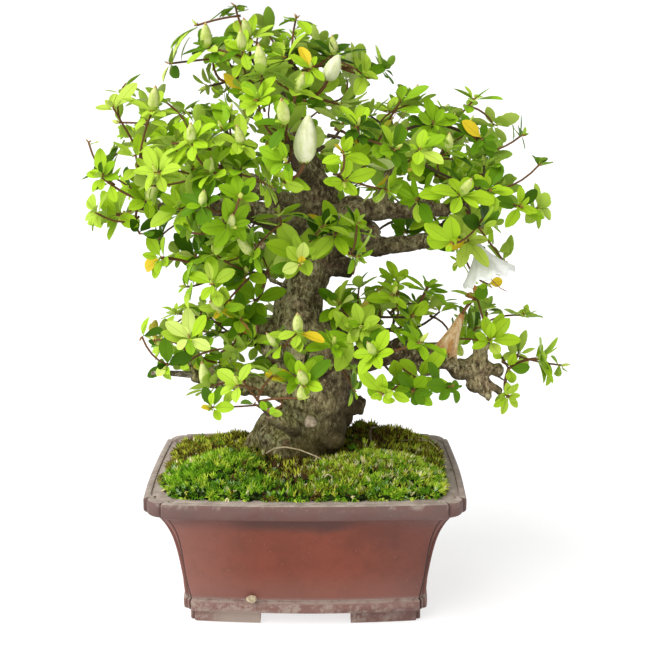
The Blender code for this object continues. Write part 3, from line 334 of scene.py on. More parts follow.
# Buds: outline as share of length and of half width, and the sprays that bear large ones,
# each a place seen from the front (x and z on the plane y = FRONT_PLANE) and a length
BUD_OUTLINE = (
    (0.00, 0.24), (0.08, 0.62), (0.24, 0.92), (0.42, 1.00), (0.60, 0.86), (0.76, 0.58),
    (0.90, 0.28), (1.00, 0.04))
BUD_SIDES = 12
BRACT_WIDTH = 0.0011
SEPALS = 6
PETAL_THICKNESS = 0.00035
LARGE_BUDS = metres((
    ((-923, 3255), 165), ((-561, 3480), 165), ((-452, 3551), 140), ((-312, 3680), 140),
    ((-187, 3645), 175), ((-50, 3480), 130), ((-215, 3147), 170), ((-499, 2881), 110),
    ((-528, 2990), 130), ((-965, 2623), 160), ((-949, 2758), 120), ((-618, 2746), 120),
    ((-494, 2449), 130), ((-266, 2311), 160), ((-414, 2386), 120), ((854, 2819), 130),
    ((-507, 2026), 150), ((43, 1815), 150), ((5, 1594), 150), ((-666, 1568), 180),
    ((-91, 1437), 110), ((700, 3302), 130), ((962, 2941), 120), ((275, 3656), 130),
    ((-756, 3123), 130), ((-300, 1900), 120), ((500, 1700), 120)))
# White buds about to open: base, heading, length, width
WHITE_BUDS = (
    ((0.0005, -0.083, 0.297), (0.1, -0.1, 1.0), 0.0275, 0.0142),
    ((0.014, -0.038, 0.342), (0.45, -0.2, 1.0), 0.017, 0.0105),
)
WHITE_BUD_OUTLINE = (
    (0.00, 0.30), (0.05, 0.60), (0.16, 0.88), (0.32, 1.00), (0.50, 0.95), (0.66, 0.78),
    (0.80, 0.55), (0.91, 0.32), (1.00, 0.10))
# The open flower and the withered one: base, heading, and (distance, radius) rows
OPEN_FLOWER = ((0.106, -0.034, 0.244), (0.34, -0.16, -0.92), (
    (0.0, 0.0013), (0.005, 0.003), (0.01, 0.006), (0.0145, 0.0094),
    (0.0185, 0.0126), (0.0215, 0.0152), (0.0235, 0.0172)))
WITHERED_FLOWER = ((0.099, -0.026, 0.1975), (-0.36, -0.12, -0.82), (
    (0.0, 0.0016), (0.005, 0.0024), (0.01, 0.0031), (0.015, 0.004),
    (0.02, 0.0052), (0.024, 0.0062), (0.0275, 0.0078)))
# Petals between the leaves: the place near the end of a twig on which each lies, heading,
# facing, length, width
PETALS = (
    ((0.058, -0.03, 0.297), (0.6, -0.3, 0.5), (0.0, -1.0, 0.4), 0.015, 0.0105),
    ((0.041, -0.03, 0.299), (-0.3, -0.3, 0.8), (0.1, -1.0, 0.2), 0.011, 0.008),
    ((0.05, -0.025, 0.294), (0.2, -0.2, 1.0), (-0.2, -1.0, 0.1), 0.012, 0.0085),
)
# Dead leaves, each at the end of the twig nearest to its place: the same values
DEAD_LEAVES = (
    ((0.114, -0.022, 0.1935), (-0.3, -0.2, 1.0), (0.5, -1.0, 0.1), 0.013, 0.005),
    ((0.1165, -0.022, 0.1925), (0.2, -0.2, 1.0), (0.2, -1.0, 0.1), 0.012, 0.0048),
    ((0.108, -0.018, 0.193), (-0.55, -0.2, 0.2), (0.1, -1.0, 0.3), 0.0085, 0.005),
    ((-0.036, -0.03, 0.21), (-0.5, -0.2, -0.7), (0.1, -1.0, 0.3), 0.011, 0.005),
    ((-0.044, -0.026, 0.196), (0.5, -0.3, -0.8), (0.1, -1.0, 0.3), 0.012, 0.0052),
    ((-0.05, -0.024, 0.227), (0.1, -0.3, -1.0), (0.1, -1.0, 0.1), 0.011, 0.005),
)
# Stamens and, last, the style: start, point to bend towards, end. The stamens are moved
# together to the end of the twig nearest to the first
STAMENS = metres((
    ((352, -200, 3120), (360, -210, 3240), (430, -240, 3330)),
    ((362, -200, 3120), (400, -220, 3230), (492, -250, 3347)),
    ((356, -200, 3120), (420, -210, 3170), (500, -230, 3240)),
    ((1080, -370, 2330), (1150, -420, 2180), (1240, -430, 2150))))
# Stems and dead shoots lying or standing about: start, bend, end, start radius, end radius
FALLEN_STEMS = (
    ((-0.0254, -0.029, 0.1066), (-0.0135, -0.0385, 0.1215), (0.0185, -0.04, 0.1015),
     0.00055, 0.0004),
    ((0.064, 0.023, 0.099), (0.072, 0.021, 0.101), (0.082, 0.023, 0.099),
     0.0004, 0.0003),
    ((0.0745, 0.028, 0.1), (0.085, 0.024, 0.102), (0.0925, 0.015, 0.09),
     0.00036, 0.00028),
    ((0.0119, -0.056, 0.099), (0.0145, -0.058, 0.105), (0.0176, -0.056, 0.099),
     0.00046, 0.0004),
)
DEAD_SHOOTS = (
    ((0.044, 0.006, 0.1), (0.04, 0.003, 0.118), (0.047, 0.0, 0.115),
     0.0006, 0.0004),
    ((-0.07, -0.018, 0.1555), (-0.086, -0.024, 0.159), (-0.098, -0.026, 0.159),
     0.0026, 0.0015),
    ((0.121, -0.009, 0.154), (0.127, -0.012, 0.153), (0.133, -0.014, 0.147),
     0.00075, 0.00055),
    ((0.116, -0.009, 0.17), (0.117, -0.012, 0.176), (0.119, -0.014, 0.183),
     0.0011, 0.0008),
)
# The pebble on the belt: place and half sizes. Crumbs on the rim: place and radius
PEBBLE = ((-0.0339, -0.0578, 0.0195), (0.0034, 0.0022, 0.0025))
RIM_CRUMBS = metres((
    ((-940, -233, 892), 19), ((-928, -332, 892), 22), ((-900, -280, 892), 20),
    ((-880, 420, 892), 24), ((-954, -273, 890), 8), ((-928, -173, 890), 10),
    ((-930, 250, 890), 13), ((957, -91, 890), 9), ((940, 300, 890), 10)))

# Studio: the sky's strength falls from the horizon to overhead, and a soft key light comes
# from the upper left in front
SKY_FALL = (0.05, 0.60, 1.02, 0.36)
KEY_HEADING = (0.62, 0.50, -0.92)
KEY_STRENGTH = 3.3
KEY_SOFTNESS = 58.0
FLOOR_HALF_SIZE = 60.0
PHOTO_CAMERA = (0.0125, -0.8084, 0.3563)
PHOTO_LENS = 70.23
PHOTO_PITCH = 11.98
FLOOR_GLOW = 0.70


# Small helpers

def clamp(value):
    """The value, but no less than 0 and no more than 1."""
    return min(1.0, max(0.0, value))


def new_object(name, data):
    made = bpy.data.objects.new(name, data)
    bpy.context.scene.collection.objects.link(made)
    return made


def new_node(tree, kind, feeds=(), **settings):
    """A node with its settings, and each input set to a value or linked from a socket."""
    made = tree.nodes.new(kind)
    for key, value in settings.items():
        setattr(made, key, value)
    for key, value in dict(feeds).items():
        if isinstance(value, bpy.types.NodeSocket):
            tree.links.new(value, made.inputs[key])
        else:
            made.inputs[key].default_value = value
    return made


def vertex_places(mesh):
    places = np.zeros(len(mesh.vertices) * 3)
    mesh.vertices.foreach_get("co", places)
    return places.reshape(-1, 3)


def object_from_arrays(name, points, faces, slots=None):
    """A mesh object from a vertex array and lists of corners, in pot-centred metres."""
    mesh = bpy.data.meshes.new(name)
    mesh.from_pydata([tuple(point) for point in points], [], [tuple(face) for face in faces])
    if slots is not None:
        mesh.polygons.foreach_set("material_index", np.asarray(slots, dtype=np.int32))
    mesh.update()
    return new_object(name, mesh)


def object_from_bmesh(name, form):
    mesh = bpy.data.meshes.new(name)
    form.to_mesh(mesh)
    form.free()
    return new_object(name, mesh)


def bake_modifiers(target):
    """Replaces the object's mesh by its evaluated shape."""
    graph = bpy.context.evaluated_depsgraph_get()
    graph.update()
    mesh = bpy.data.meshes.new_from_object(target.evaluated_get(graph))
    target.modifiers.clear()
    target.data = mesh


def finish_piece(piece, materials, nodes=()):
    piece.data.transform(Matrix.Translation(SHIFT))
    indices = np.zeros(len(piece.data.polygons), dtype=np.int32)
    piece.data.polygons.foreach_get("material_index", indices)
    piece.data.materials.clear()
    for material in materials:
        piece.data.materials.append(material)
    piece.data.polygons.foreach_set("material_index", indices)
    piece.data.update()
    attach(piece, "root")
    if nodes:
        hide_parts(*nodes)


# Materials

class Finish:
    """A material being built: its Principled shader and the nodes that feed it."""

    def __init__(self, name, colour, roughness, gloss=0.5):
        self.material = bpy.data.materials.new(name)
        self.material.use_nodes = True
        self.tree = self.material.node_tree
        self.shader = self.tree.nodes["Principled BSDF"]
        self.shader.inputs["Base Color"].default_value = (*colour, 1.0)
        self.shader.inputs["Roughness"].default_value = roughness
        self.shader.inputs["Specular IOR Level"].default_value = gloss
        self.skin = None
        self.last_bump = None
        coordinates = self.node("ShaderNodeTexCoord").outputs["Object"]
        centring = self.node("ShaderNodeMapping", {"Vector": coordinates, "Location": -SHIFT})
        self.place = centring.outputs["Vector"]

    def node(self, kind, feeds=(), **settings):
        return new_node(self.tree, kind, feeds, **settings)

    def stretched(self, scale):
        made = self.node("ShaderNodeMapping", {"Vector": self.place, "Scale": scale})
        return made.outputs["Vector"]

    def noise(self, scale, detail=3.0, roughness=0.55, distortion=0.0, place=None):
        return self.node("ShaderNodeTexNoise", {
            "Vector": place or self.place, "Scale": scale, "Detail": detail,
            "Roughness": roughness, "Distortion": distortion}).outputs["Fac"]

    def cells(self, scale, place=None):
        feeds = {"Vector": place or self.place, "Scale": scale}
        return self.node("ShaderNodeTexVoronoi", feeds).outputs["Distance"]

    def attribute(self, name):
        return self.node("ShaderNodeAttribute", attribute_name=name).outputs["Fac"]

    def axis(self, name, vector=None):
        feeds = {"Vector": vector or self.place}
        return self.node("ShaderNodeSeparateXYZ", feeds).outputs[name]

    def normal_axis(self, name):
        return self.axis(name, self.node("ShaderNodeNewGeometry").outputs["Normal"])

    def spread(self, value, low, high, to_low=0.0, to_high=1.0, kind="SMOOTHSTEP"):
        """Maps low..high of a value to to_low..to_high, clamped."""
        feeds = {"Value": value, "From Min": low, "From Max": high,
                 "To Min": to_low, "To Max": to_high}
        made = self.node("ShaderNodeMapRange", feeds, clamp=True, interpolation_type=kind)
        return made.outputs["Result"]

    def maths(self, operation, first, second=0.0):
        feeds = {0: first, 1: second}
        return self.node("ShaderNodeMath", feeds, operation=operation).outputs[0]

    def product(self, first, *others):
        for factor in others:
            first = self.maths("MULTIPLY", first, factor)
        return first

    def blend(self, share, first, second):
        """Mixes two colours, each a triple or a socket."""
        ends = [(*end, 1.0) if isinstance(end, tuple) else end for end in (first, second)]
        feeds = {0: share, 6: ends[0], 7: ends[1]}
        return self.node("ShaderNodeMix", feeds, data_type="RGBA").outputs[2]

    def colour(self, value):
        self.skin = value
        self.tree.links.new(value, self.shader.inputs["Base Color"])

    def lay(self, share, colour):
        """Lays one more colour over the skin so far."""
        self.colour(self.blend(share, self.skin, colour))

    def roughness(self, value):
        self.tree.links.new(value, self.shader.inputs["Roughness"])

    def bump(self, height, strength, distance):
        """Lays a relief over the ones before it."""
        feeds = {"Height": height, "Strength": strength, "Distance": distance}
        if self.last_bump is not None:
            feeds["Normal"] = self.last_bump
        self.last_bump = self.node("ShaderNodeBump", feeds).outputs["Normal"]
        self.tree.links.new(self.last_bump, self.shader.inputs["Normal"])


def clay_finish():
    """Unglazed red-brown stoneware, greyer on the lip, with lime on belt, lip and feet."""
    clay = Finish("red_stoneware", (0.2, 0.07, 0.05), 0.55, 0.28)
    height = clay.axis("Z")
    along = clay.axis("X")
    clouds = clay.noise(24.0, 5.0, 0.62)
    mottle = clay.noise(140.0, 4.0, 0.7)
    fine = clay.noise(700.0, 3.0, 0.7)
    clay.colour(clay.blend(clay.spread(clouds, 0.36, 0.64), (0.13, 0.037, 0.024),
                           (0.198, 0.052, 0.031)))
    clay.lay(clay.spread(mottle, 0.42, 0.75, 0.0, 0.5), (0.105, 0.038, 0.028))
    middle = clay.spread(clay.maths("ABSOLUTE", along), 0.015, 0.085, 0.36, 0.0)
    clay.lay(middle, (0.235, 0.048, 0.02))
    # Painted light on the pot's left side and painted shade on its right side
    clay.lay(clay.spread(along, -0.025, -0.085, 0.0, 0.62), (0.28, 0.122, 0.096))
    clay.lay(clay.spread(along, 0.02, 0.08, 0.0, 0.5), (0.118, 0.047, 0.037))
    clay.lay(clay.spread(height, 0.042, 0.019, 0.0, 0.45), (0.22, 0.108, 0.088))
    clay.lay(clay.spread(height, 0.02, 0.018, 0.0, 0.7), (0.195, 0.108, 0.092))
    # Painted shade: the right foot darker than the rest of the clay
    shaded_right_foot = clay.product(clay.spread(height, 0.013, 0.01),
                              clay.spread(along, 0.01, 0.03, 0.0, 0.45))
    clay.lay(shaded_right_foot, (0.085, 0.042, 0.033))
    # Painted shadow of the lip: the body darker just under it, with a ragged lower edge
    ragged = clay.product(clay.maths("SUBTRACT", clouds, 0.5), 0.018)
    upper = clay.maths("ADD", height, ragged)
    clay.lay(clay.spread(upper, 0.066, 0.08, 0.0, 0.8), (0.125, 0.058, 0.05))
    # A darker blotch at the middle of the face, just under the lip
    under_lip_blotch = clay.spread(clay.maths("ABSOLUTE", clay.maths("ADD", along, 0.006)), 0.052, 0.022)
    under_lip_blotch = clay.product(under_lip_blotch, clay.spread(upper, 0.066, 0.074),
                         clay.spread(height, 0.08, 0.0775, 0.0, 0.65))
    clay.lay(under_lip_blotch, (0.05, 0.024, 0.02))
    clay.lay(clay.spread(upper, 0.079, 0.085, 0.0, 0.65), (0.17, 0.095, 0.08))
    grime = clay.spread(clay.noise(90.0, 4.0, 0.7), 0.4, 0.62, 0.15, 0.55)
    on_lip = clay.spread(height, 0.079, 0.08)
    clay.lay(clay.product(grime, on_lip), (0.13, 0.088, 0.078))
    flat_top = clay.spread(clay.normal_axis("Z"), 0.7, 0.95)
    flat_top = clay.product(flat_top, clay.spread(height, 0.0855, 0.087))
    worn = clay.blend(clay.spread(mottle, 0.38, 0.66), (0.32, 0.25, 0.215), (0.5, 0.415, 0.365))
    clay.lay(clay.product(flat_top, 0.92), worn)
    lime_band = clay.spread(height, 0.02, 0.013)
    lime_noise = clay.spread(clay.noise(150.0, 6.0, 0.8, 0.3), 0.44, 0.6)
    lime = clay.product(lime_band, lime_noise, clay.spread(along, 0.02, 0.07, 0.85, 0.35))
    from_left_foot = clay.maths("ABSOLUTE", clay.maths("ADD", along, 0.04))
    left_foot = clay.product(clay.spread(height, 0.012, 0.008),
                             clay.spread(from_left_foot, 0.028, 0.01))
    lime = clay.maths("MAXIMUM", lime, clay.product(left_foot, 0.95))
    ledge = clay.product(clay.spread(height, 0.0185, 0.017),
                         clay.spread(height, 0.0145, 0.016))
    ledge = clay.product(ledge, clay.spread(mottle, 0.35, 0.55, 0.2, 0.9))
    lime = clay.maths("MAXIMUM", lime, ledge)
    lip_band = clay.spread(height, 0.084, 0.088, 0.0, 0.9)
    lip_noise = clay.spread(clay.noise(55.0, 5.0, 0.75, 1.0), 0.5, 0.66)
    lime = clay.maths("MAXIMUM", lime, clay.product(lip_band, lip_noise))
    clay.lay(clay.product(lime, 0.62), (0.42, 0.365, 0.305))
    specks = clay.product(clay.spread(clay.cells(380.0), 0.15, 0.06, 0.0, 0.45),
                          clay.spread(mottle, 0.5, 0.6))
    clay.lay(specks, (0.42, 0.3, 0.24))
    # Painted shade in the grooves beside the wall's panels
    groove_shade = clay.attribute("groove_shade")
    clay.lay(clay.spread(groove_shade, 0.2, 0.75, 0.0, 0.85), (0.05, 0.022, 0.017))
    rough = clay.spread(mottle, 0.3, 0.8, 0.5, 0.72, kind="LINEAR")
    clay.roughness(clay.maths("ADD", rough, clay.product(lime, 0.2)))
    clay.bump(clouds, 0.35, 0.0012)
    clay.bump(mottle, 0.5, 0.0004)
    clay.bump(fine, 0.5, 0.00018)
    return clay.material


def soil_finish():
    """Dark moist potting soil in small crumbs."""
    soil = Finish("potting_soil", (0.035, 0.024, 0.016), 0.95)
    crumbs = soil.cells(520.0)
    clods = soil.noise(140.0, 5.0, 0.7)
    colour = soil.blend(soil.spread(clods, 0.35, 0.7), (0.018, 0.012, 0.008), (0.085, 0.058, 0.036))
    soil.colour(colour)
    soil.roughness(soil.spread(clods, 0.3, 0.7, 0.85, 1.0))
    soil.bump(clods, 0.8, 0.0012)
    soil.bump(crumbs, 0.9, 0.0006)
    return soil.material


def moss_bed_finish():
    """The shaded ground between the moss shoots."""
    moss = Finish("moss_bed", (0.08, 0.14, 0.02), 0.95, 0.15)
    patches = moss.noise(75.0, 4.0, 0.6)
    grain = moss.cells(650.0)
    fine = moss.noise(1100.0, 3.0, 0.7)
    green = moss.blend(moss.spread(patches, 0.38, 0.62), (0.008, 0.02, 0.003), (0.03, 0.06, 0.006))
    front = moss.spread(moss.axis("Y"), -0.03, -0.006)
    brown = moss.blend(moss.spread(patches, 0.4, 0.6), (0.02, 0.015, 0.005), (0.05, 0.028, 0.012))
    moss.colour(moss.blend(front, green, brown))
    moss.lay(moss.spread(fine, 0.45, 0.75, 0.0, 0.6), (0.06, 0.07, 0.012))
    moss.roughness(moss.spread(fine, 0.2, 0.8, 0.85, 1.0))
    moss.bump(patches, 0.6, 0.002)
    moss.bump(grain, 0.9, 0.0008)
    moss.bump(fine, 0.6, 0.0003)
    return moss.material


def bark_finish():
    """Mottled grey-beige bark with dark pits, green low on the left, and painted shade on the
    right, underneath and under the crown.
    """
    bark = Finish("azalea_bark", (0.22, 0.18, 0.13), 0.85, 0.08)
    height = bark.axis("Z")
    along = bark.axis("X")
    grain_place = bark.stretched((1.0, 1.0, 0.55))
    patches = bark.noise(70.0, 5.0, 0.68, 0.4, grain_place)
    speckle = bark.noise(430.0, 4.0, 0.75, 0.0, grain_place)
    pits = bark.cells(560.0, grain_place)
    flakes = bark.cells(230.0, grain_place)
    bark.colour(bark.blend(bark.spread(patches, 0.38, 0.62), (0.08, 0.056, 0.027),
                           (0.345, 0.28, 0.145)))
    warm = bark.spread(bark.noise(95.0, 4.0, 0.65), 0.53, 0.62, 0.0, 0.6)
    bark.lay(warm, (0.33, 0.21, 0.135))
    lichen = bark.spread(bark.noise(120.0, 5.0, 0.72, 0.6), 0.53, 0.6, 0.0, 0.7)
    lichen = bark.product(lichen, bark.spread(along, 0.014, -0.004, 0.25, 1.0))
    bark.lay(lichen, (0.46, 0.47, 0.265))
    bark.lay(bark.spread(speckle, 0.52, 0.63, 0.0, 0.85), (0.6, 0.525, 0.31))
    bark.lay(bark.spread(speckle, 0.47, 0.38, 0.0, 0.9), (0.036, 0.024, 0.013))
    moss_noise = bark.spread(bark.noise(42.0, 4.0, 0.7), 0.36, 0.6)
    left = bark.spread(along, 0.022, -0.01)
    low = bark.spread(height, 0.24, 0.11, 0.2, 1.0)
    green = bark.product(moss_noise, left, low)
    tint = bark.blend(bark.spread(speckle, 0.42, 0.58), (0.07, 0.066, 0.014), (0.43, 0.42, 0.16))
    bark.lay(bark.product(green, 0.75), tint)
    # Painted shade on the trunk's right side, away from the light
    ragged = bark.product(bark.maths("SUBTRACT", patches, 0.5), 0.035)
    shade = bark.spread(bark.maths("SUBTRACT", along, ragged), 0.01, 0.027, 0.0, 0.7)
    trunk_only = bark.product(bark.spread(height, 0.245, 0.225),
                              bark.spread(along, 0.07, 0.045))
    bark.lay(bark.product(shade, trunk_only), (0.052, 0.036, 0.022))
    # Painted shade: the bark darker where it faces down
    underside = bark.spread(bark.normal_axis("Z"), 0.2, -0.75, 0.0, 0.62)
    bark.lay(underside, (0.04, 0.028, 0.017))
    crown_shade = bark.spread(height, 0.225, 0.255, 0.0, 0.35)
    bark.lay(crown_shade, (0.06, 0.04, 0.025))
    # Darker yellow-brown at the trunk's foot, more on its right: partly its own colour, partly
    # painted shade
    foot = bark.spread(height, 0.144, 0.104, 0.0, 0.95)
    foot = bark.product(foot, bark.spread(patches, 0.36, 0.56, 0.52, 1.0),
                        bark.spread(along, -0.018, 0.002, 0.6, 1.0))
    bark.lay(foot, (0.056, 0.043, 0.012))
    bark.roughness(bark.spread(speckle, 0.35, 0.7, 0.78, 0.98))
    bark.bump(patches, 0.7, 0.0018)
    bark.bump(flakes, 0.65, 0.0009)
    bark.bump(pits, 0.6, 0.0005)
    bark.bump(speckle, 0.75, 0.0006)
    return bark.material


def cut_wood_finish(name, dark, light):
    """An old cut face, mottled along its rings."""
    wood = Finish(name, light, 0.7)
    rings = wood.noise(420.0, 3.0, 0.6)
    wood.colour(wood.blend(wood.spread(rings, 0.35, 0.65), dark, light))
    wood.roughness(wood.spread(rings, 0.3, 0.7, 0.6, 0.85))
    wood.bump(rings, 0.5, 0.0004)
    return wood.material


def plain_finish(name, colour, roughness, gloss=0.5):
    """One even colour."""
    made = Finish(name, colour, roughness, gloss)
    made.tree.nodes.remove(made.place.node)
    return made.material


# Pot

def ring(height, half_width, half_depth, face_x, face_y, notch, edge, steps=FACE_STEPS):
    """A notched outline: four bowed faces with a rounded, recessed corner between them."""
    points = []
    groove = min(GROOVE, notch * 0.42)
    for side, (along_x, along_y) in enumerate(((1, 0), (0, 1), (-1, 0), (0, -1))):
        is_long = side % 2 == 0
        reach = face_x if is_long else face_y
        offset = half_depth if is_long else half_width
        next_reach = face_y if is_long else face_x
        next_offset = half_width if is_long else half_depth
        bow = LONG_SIDE_BOW if is_long else SHORT_SIDE_BOW
        local = [(-reach, offset - edge), (-reach + edge * 0.3, offset - edge * 0.3)]
        for step in range(steps + 1):
            along = (reach - edge) * (2 * step / steps - 1)
            local.append((along, offset + bow * (1 - (along / reach) ** 2)))
        local += [(reach - edge * 0.3, offset - edge * 0.3), (reach, offset - edge)]
        for step in range(CORNER_STEPS + 1):
            turn = math.pi / 2 * (1 - step / CORNER_STEPS)
            across = (next_offset - notch - reach) * math.cos(turn)
            outward = (offset - notch - next_reach) * math.sin(turn)
            across -= groove if step == CORNER_STEPS else 0.0
            outward -= groove if step == 0 else 0.0
            local.append((reach + across, next_reach + outward))
        for along, outward in local:
            x = along * along_x + outward * along_y
            y = along * along_y - outward * along_x
            points.append(Vector((x, y, height)))
    return points


def wall_ring(height, face_in, notch_in):
    """The outline of the outer wall, with its notched corners."""
    return ring(height, RIM_HALF_WIDTH - face_in, RIM_HALF_DEPTH - face_in,
                FACE_HALF_WIDTH - notch_in, FACE_HALF_DEPTH - notch_in, NOTCH, PANEL_EDGE)


def mouth_ring(height, inset, edge=PANEL_EDGE, steps=FACE_STEPS):
    """An outline with rounded corners and no notch, as inside the mouth."""
    half_width = RIM_HALF_WIDTH - inset
    half_depth = RIM_HALF_DEPTH - inset
    return ring(height, half_width, half_depth, half_width - MOUTH_CORNER,
                half_depth - MOUTH_CORNER, 0.0, edge, steps)


def mark_groove_shade(mesh):
    """An attribute that is 1 in the grooves beside the wall's panels and 0 away from them, laid on
    the clay as painted shade.
    """
    rows = np.array(FOOT_ROWS + BODY_ROWS[1:] + LIP_ROWS[1:10])
    x, y, z = np.abs(vertex_places(mesh)).T
    face_in = np.interp(z, rows[:, 0], rows[:, 1])
    notch_in = np.interp(z, rows[:, 0], rows[:, 2])
    long_gap = np.hypot(x - FACE_HALF_WIDTH + notch_in, y - RIM_HALF_DEPTH + face_in + NOTCH)
    short_gap = np.hypot(x - RIM_HALF_WIDTH + face_in + NOTCH, y - FACE_HALF_DEPTH + notch_in)
    groove_shade = np.exp(-(np.minimum(long_gap, short_gap) / GROOVE_SHADE_WIDTH) ** 2)
    attribute = mesh.attributes.new("groove_shade", "FLOAT", "POINT")
    attribute.data.foreach_set("value", groove_shade.astype(np.float32))


def spline_value(before, start, end, after, t):
    """Catmull-Rom interpolation between start and end."""
    return 0.5 * (2 * start + (end - before) * t
                  + (2 * before - 5 * start + 4 * end - after) * t ** 2
                  + (3 * start - before - 3 * end + after) * t ** 3)


def smooth_rows(rows, steps):
    """More rows on a smooth line through the given ones."""
    rows = [Vector(row) for row in rows]
    padded = [rows[0]] + rows + [rows[-1]]
    finer = []
    for index in range(len(rows) - 1):
        for step in range(steps):
            finer.append(spline_value(*padded[index:index + 4], step / steps))
    finer.append(rows[-1])
    return finer


def loft(name, rings):
    """Joins rings with as many points each by a skin, closed by a face at each end."""
    form = bmesh.new()
    rows = [[form.verts.new(point) for point in points] for points in rings]
    count = len(rows[0])
    for lower, upper in zip(rows, rows[1:]):
        for index in range(count):
            after = (index + 1) % count
            form.faces.new((lower[index], lower[after], upper[after], upper[index]))
    form.faces.new(list(reversed(rows[0])))
    form.faces.new(rows[-1])
    bmesh.ops.remove_doubles(form, verts=form.verts, dist=1e-7)
    bmesh.ops.recalc_face_normals(form, faces=form.faces)
    return object_from_bmesh(name, form)


def cut_away(target, cutters):
    """Takes the cutters' shapes out of the target, and then the cutters away."""
    for cutter in cutters:
        modifier = target.modifiers.new("Cut", "BOOLEAN")
        modifier.operation = "DIFFERENCE"
        modifier.solver = "EXACT"
        modifier.object = cutter
    bake_modifiers(target)
    for cutter in cutters:
        bpy.data.objects.remove(cutter, do_unlink=True)


def box_cutter(width, depth):
    """A foot gap: a box about the origin with softened edges."""
    form = bmesh.new()
    bmesh.ops.create_cube(form, size=1.0)
    bmesh.ops.scale(form, verts=form.verts, vec=(width, depth, 2 * FOOT_GAP_HEIGHT))
    bmesh.ops.bevel(form, geom=form.edges[:], offset=GAP_EDGE, segments=3, affect="EDGES")
    return object_from_bmesh("gap_cutter", form)


def round_cutter(x):
    """A drain hole, a little wider below."""
    form = bmesh.new()
    bmesh.ops.create_cone(form, cap_ends=True, segments=DRAIN_SIDES, radius1=DRAIN_RADIUS * 1.05,
                          radius2=DRAIN_RADIUS * 0.95, depth=2 * FLOOR_TOP)
    bmesh.ops.translate(form, verts=form.verts, vec=(x, 0, FLOOR_TOP))
    return object_from_bmesh("drain_cutter", form)


def build_pot():
    """The pot as one skin from under its floor round the lip to its floor, with cuts below."""
    foot_in = FOOT_FACE_IN + FOOT_THICKNESS
    rings = [mouth_ring(FLOOR_UNDERSIDE, foot_in), mouth_ring(FOOT_BEVEL, foot_in),
             mouth_ring(0.0, foot_in - FOOT_BEVEL)]
    rings += [wall_ring(*row) for row in FOOT_ROWS]
    rings += [wall_ring(*row) for row in smooth_rows(BODY_ROWS, BODY_STEPS)[1:]]
    rings += [wall_ring(*row) for row in LIP_ROWS[1:]]
    rings += [mouth_ring(*row) for row in MOUTH_ROWS]
    pot = loft("pot_clay", rings)
    through = 4 * RIM_HALF_WIDTH
    cut_away(pot, [box_cutter(FOOT_GAP_WIDTH, through), box_cutter(through, FOOT_GAP_DEPTH),
                   round_cutter(-DRAIN_SPACING / 2), round_cutter(DRAIN_SPACING / 2)])
    mark_groove_shade(pot.data)
    for vertex in pot.data.vertices:
        if vertex.co.z > 0.004:
            sway = noise.noise_vector(vertex.co * 22.0) * CLAY_SWAY
            vertex.co += Vector((sway.x, sway.y, sway.z * 0.5))
    pot.data.shade_smooth()
    pot.data.set_sharp_from_angle(angle=math.radians(CLAY_CREASE))
    return pot


# Moss

def moss_height(x, y):
    """How far the mounds rise over the edge of the bed."""
    height = 0.0
    for mound_x, mound_y, spread_x, spread_y, rise in MOUNDS:
        away = ((x - mound_x) / spread_x) ** 2 + ((y - mound_y) / spread_y) ** 2
        height += rise * math.exp(-away / 2)
    return height


def at_back(y):
    """0 over the bed, rising to 1 at its back edge, where the moss is low and thin."""
    return clamp((y - 0.034) / 0.016)


def moss_relief(x, y):
    """Cushions and hollows of a few millimetres on top of the mounds."""
    place = Vector((x, y, 0.0))
    wild = 1.0 - clamp((-0.012 - y) / 0.02)
    wild *= 1.0 - 0.6 * clamp((-0.01 - x) / 0.02)
    cushions = noise.noise(place * 85.0) * (0.002 + 0.0022 * wild)
    clumps = noise.noise(place * 230.0) * (0.0028 + 0.0014 * wild)
    return cushions + clumps + noise.noise(place * 520.0) * 0.001


def build_moss_bed():
    """The bed from the soil up, out over the mouth's edge and in to its middle."""
    over = MOUTH_INSET - MOSS_OVERHANG
    sides = ((SOIL_TOP + MOSS_SEAT, MOSS_INSET), (MOSS_WALL_TOP, MOSS_INSET),
             (MOSS_LEDGE, over), (MOSS_EDGE, over))
    rings = [mouth_ring(height, inset, MOSS_BEVEL, MOSS_FACE_STEPS) for height, inset in sides]
    edge = rings.pop()
    for step in range(MOSS_RING_COUNT):
        fraction = 1.0 - step / MOSS_RING_COUNT
        points = []
        for point in edge:
            x = point.x * fraction
            y = point.y * fraction
            ragged = noise.noise(Vector((x * 110, y * 110, 3.0))) * 0.0036 * fraction ** 12
            x += ragged * (1 if x > 0 else -1)
            y += ragged * (1 if y > 0 else -1)
            lift = moss_height(x, y) * (1 - fraction ** 6) + 0.0006
            lift -= MOSS_BACK_DROP * at_back(y) * fraction ** 4
            settle = min(1.0, (1 - fraction) * 6)
            points.append(Vector((x, y, MOSS_EDGE + lift + moss_relief(x, y) * settle)))
        rings.append(points)
    bed = loft("moss_bed", rings)
    bed.data.shade_smooth()
    return bed


def patch_share(x, y, patches):
    """1 at the middle of an oval patch of the bed, falling smoothly to 0 around it."""
    return sum(math.exp(-(((x - middle_x) / spread_x) ** 2 + ((y - middle_y) / spread_y) ** 2))
               for middle_x, middle_y, spread_x, spread_y in patches)


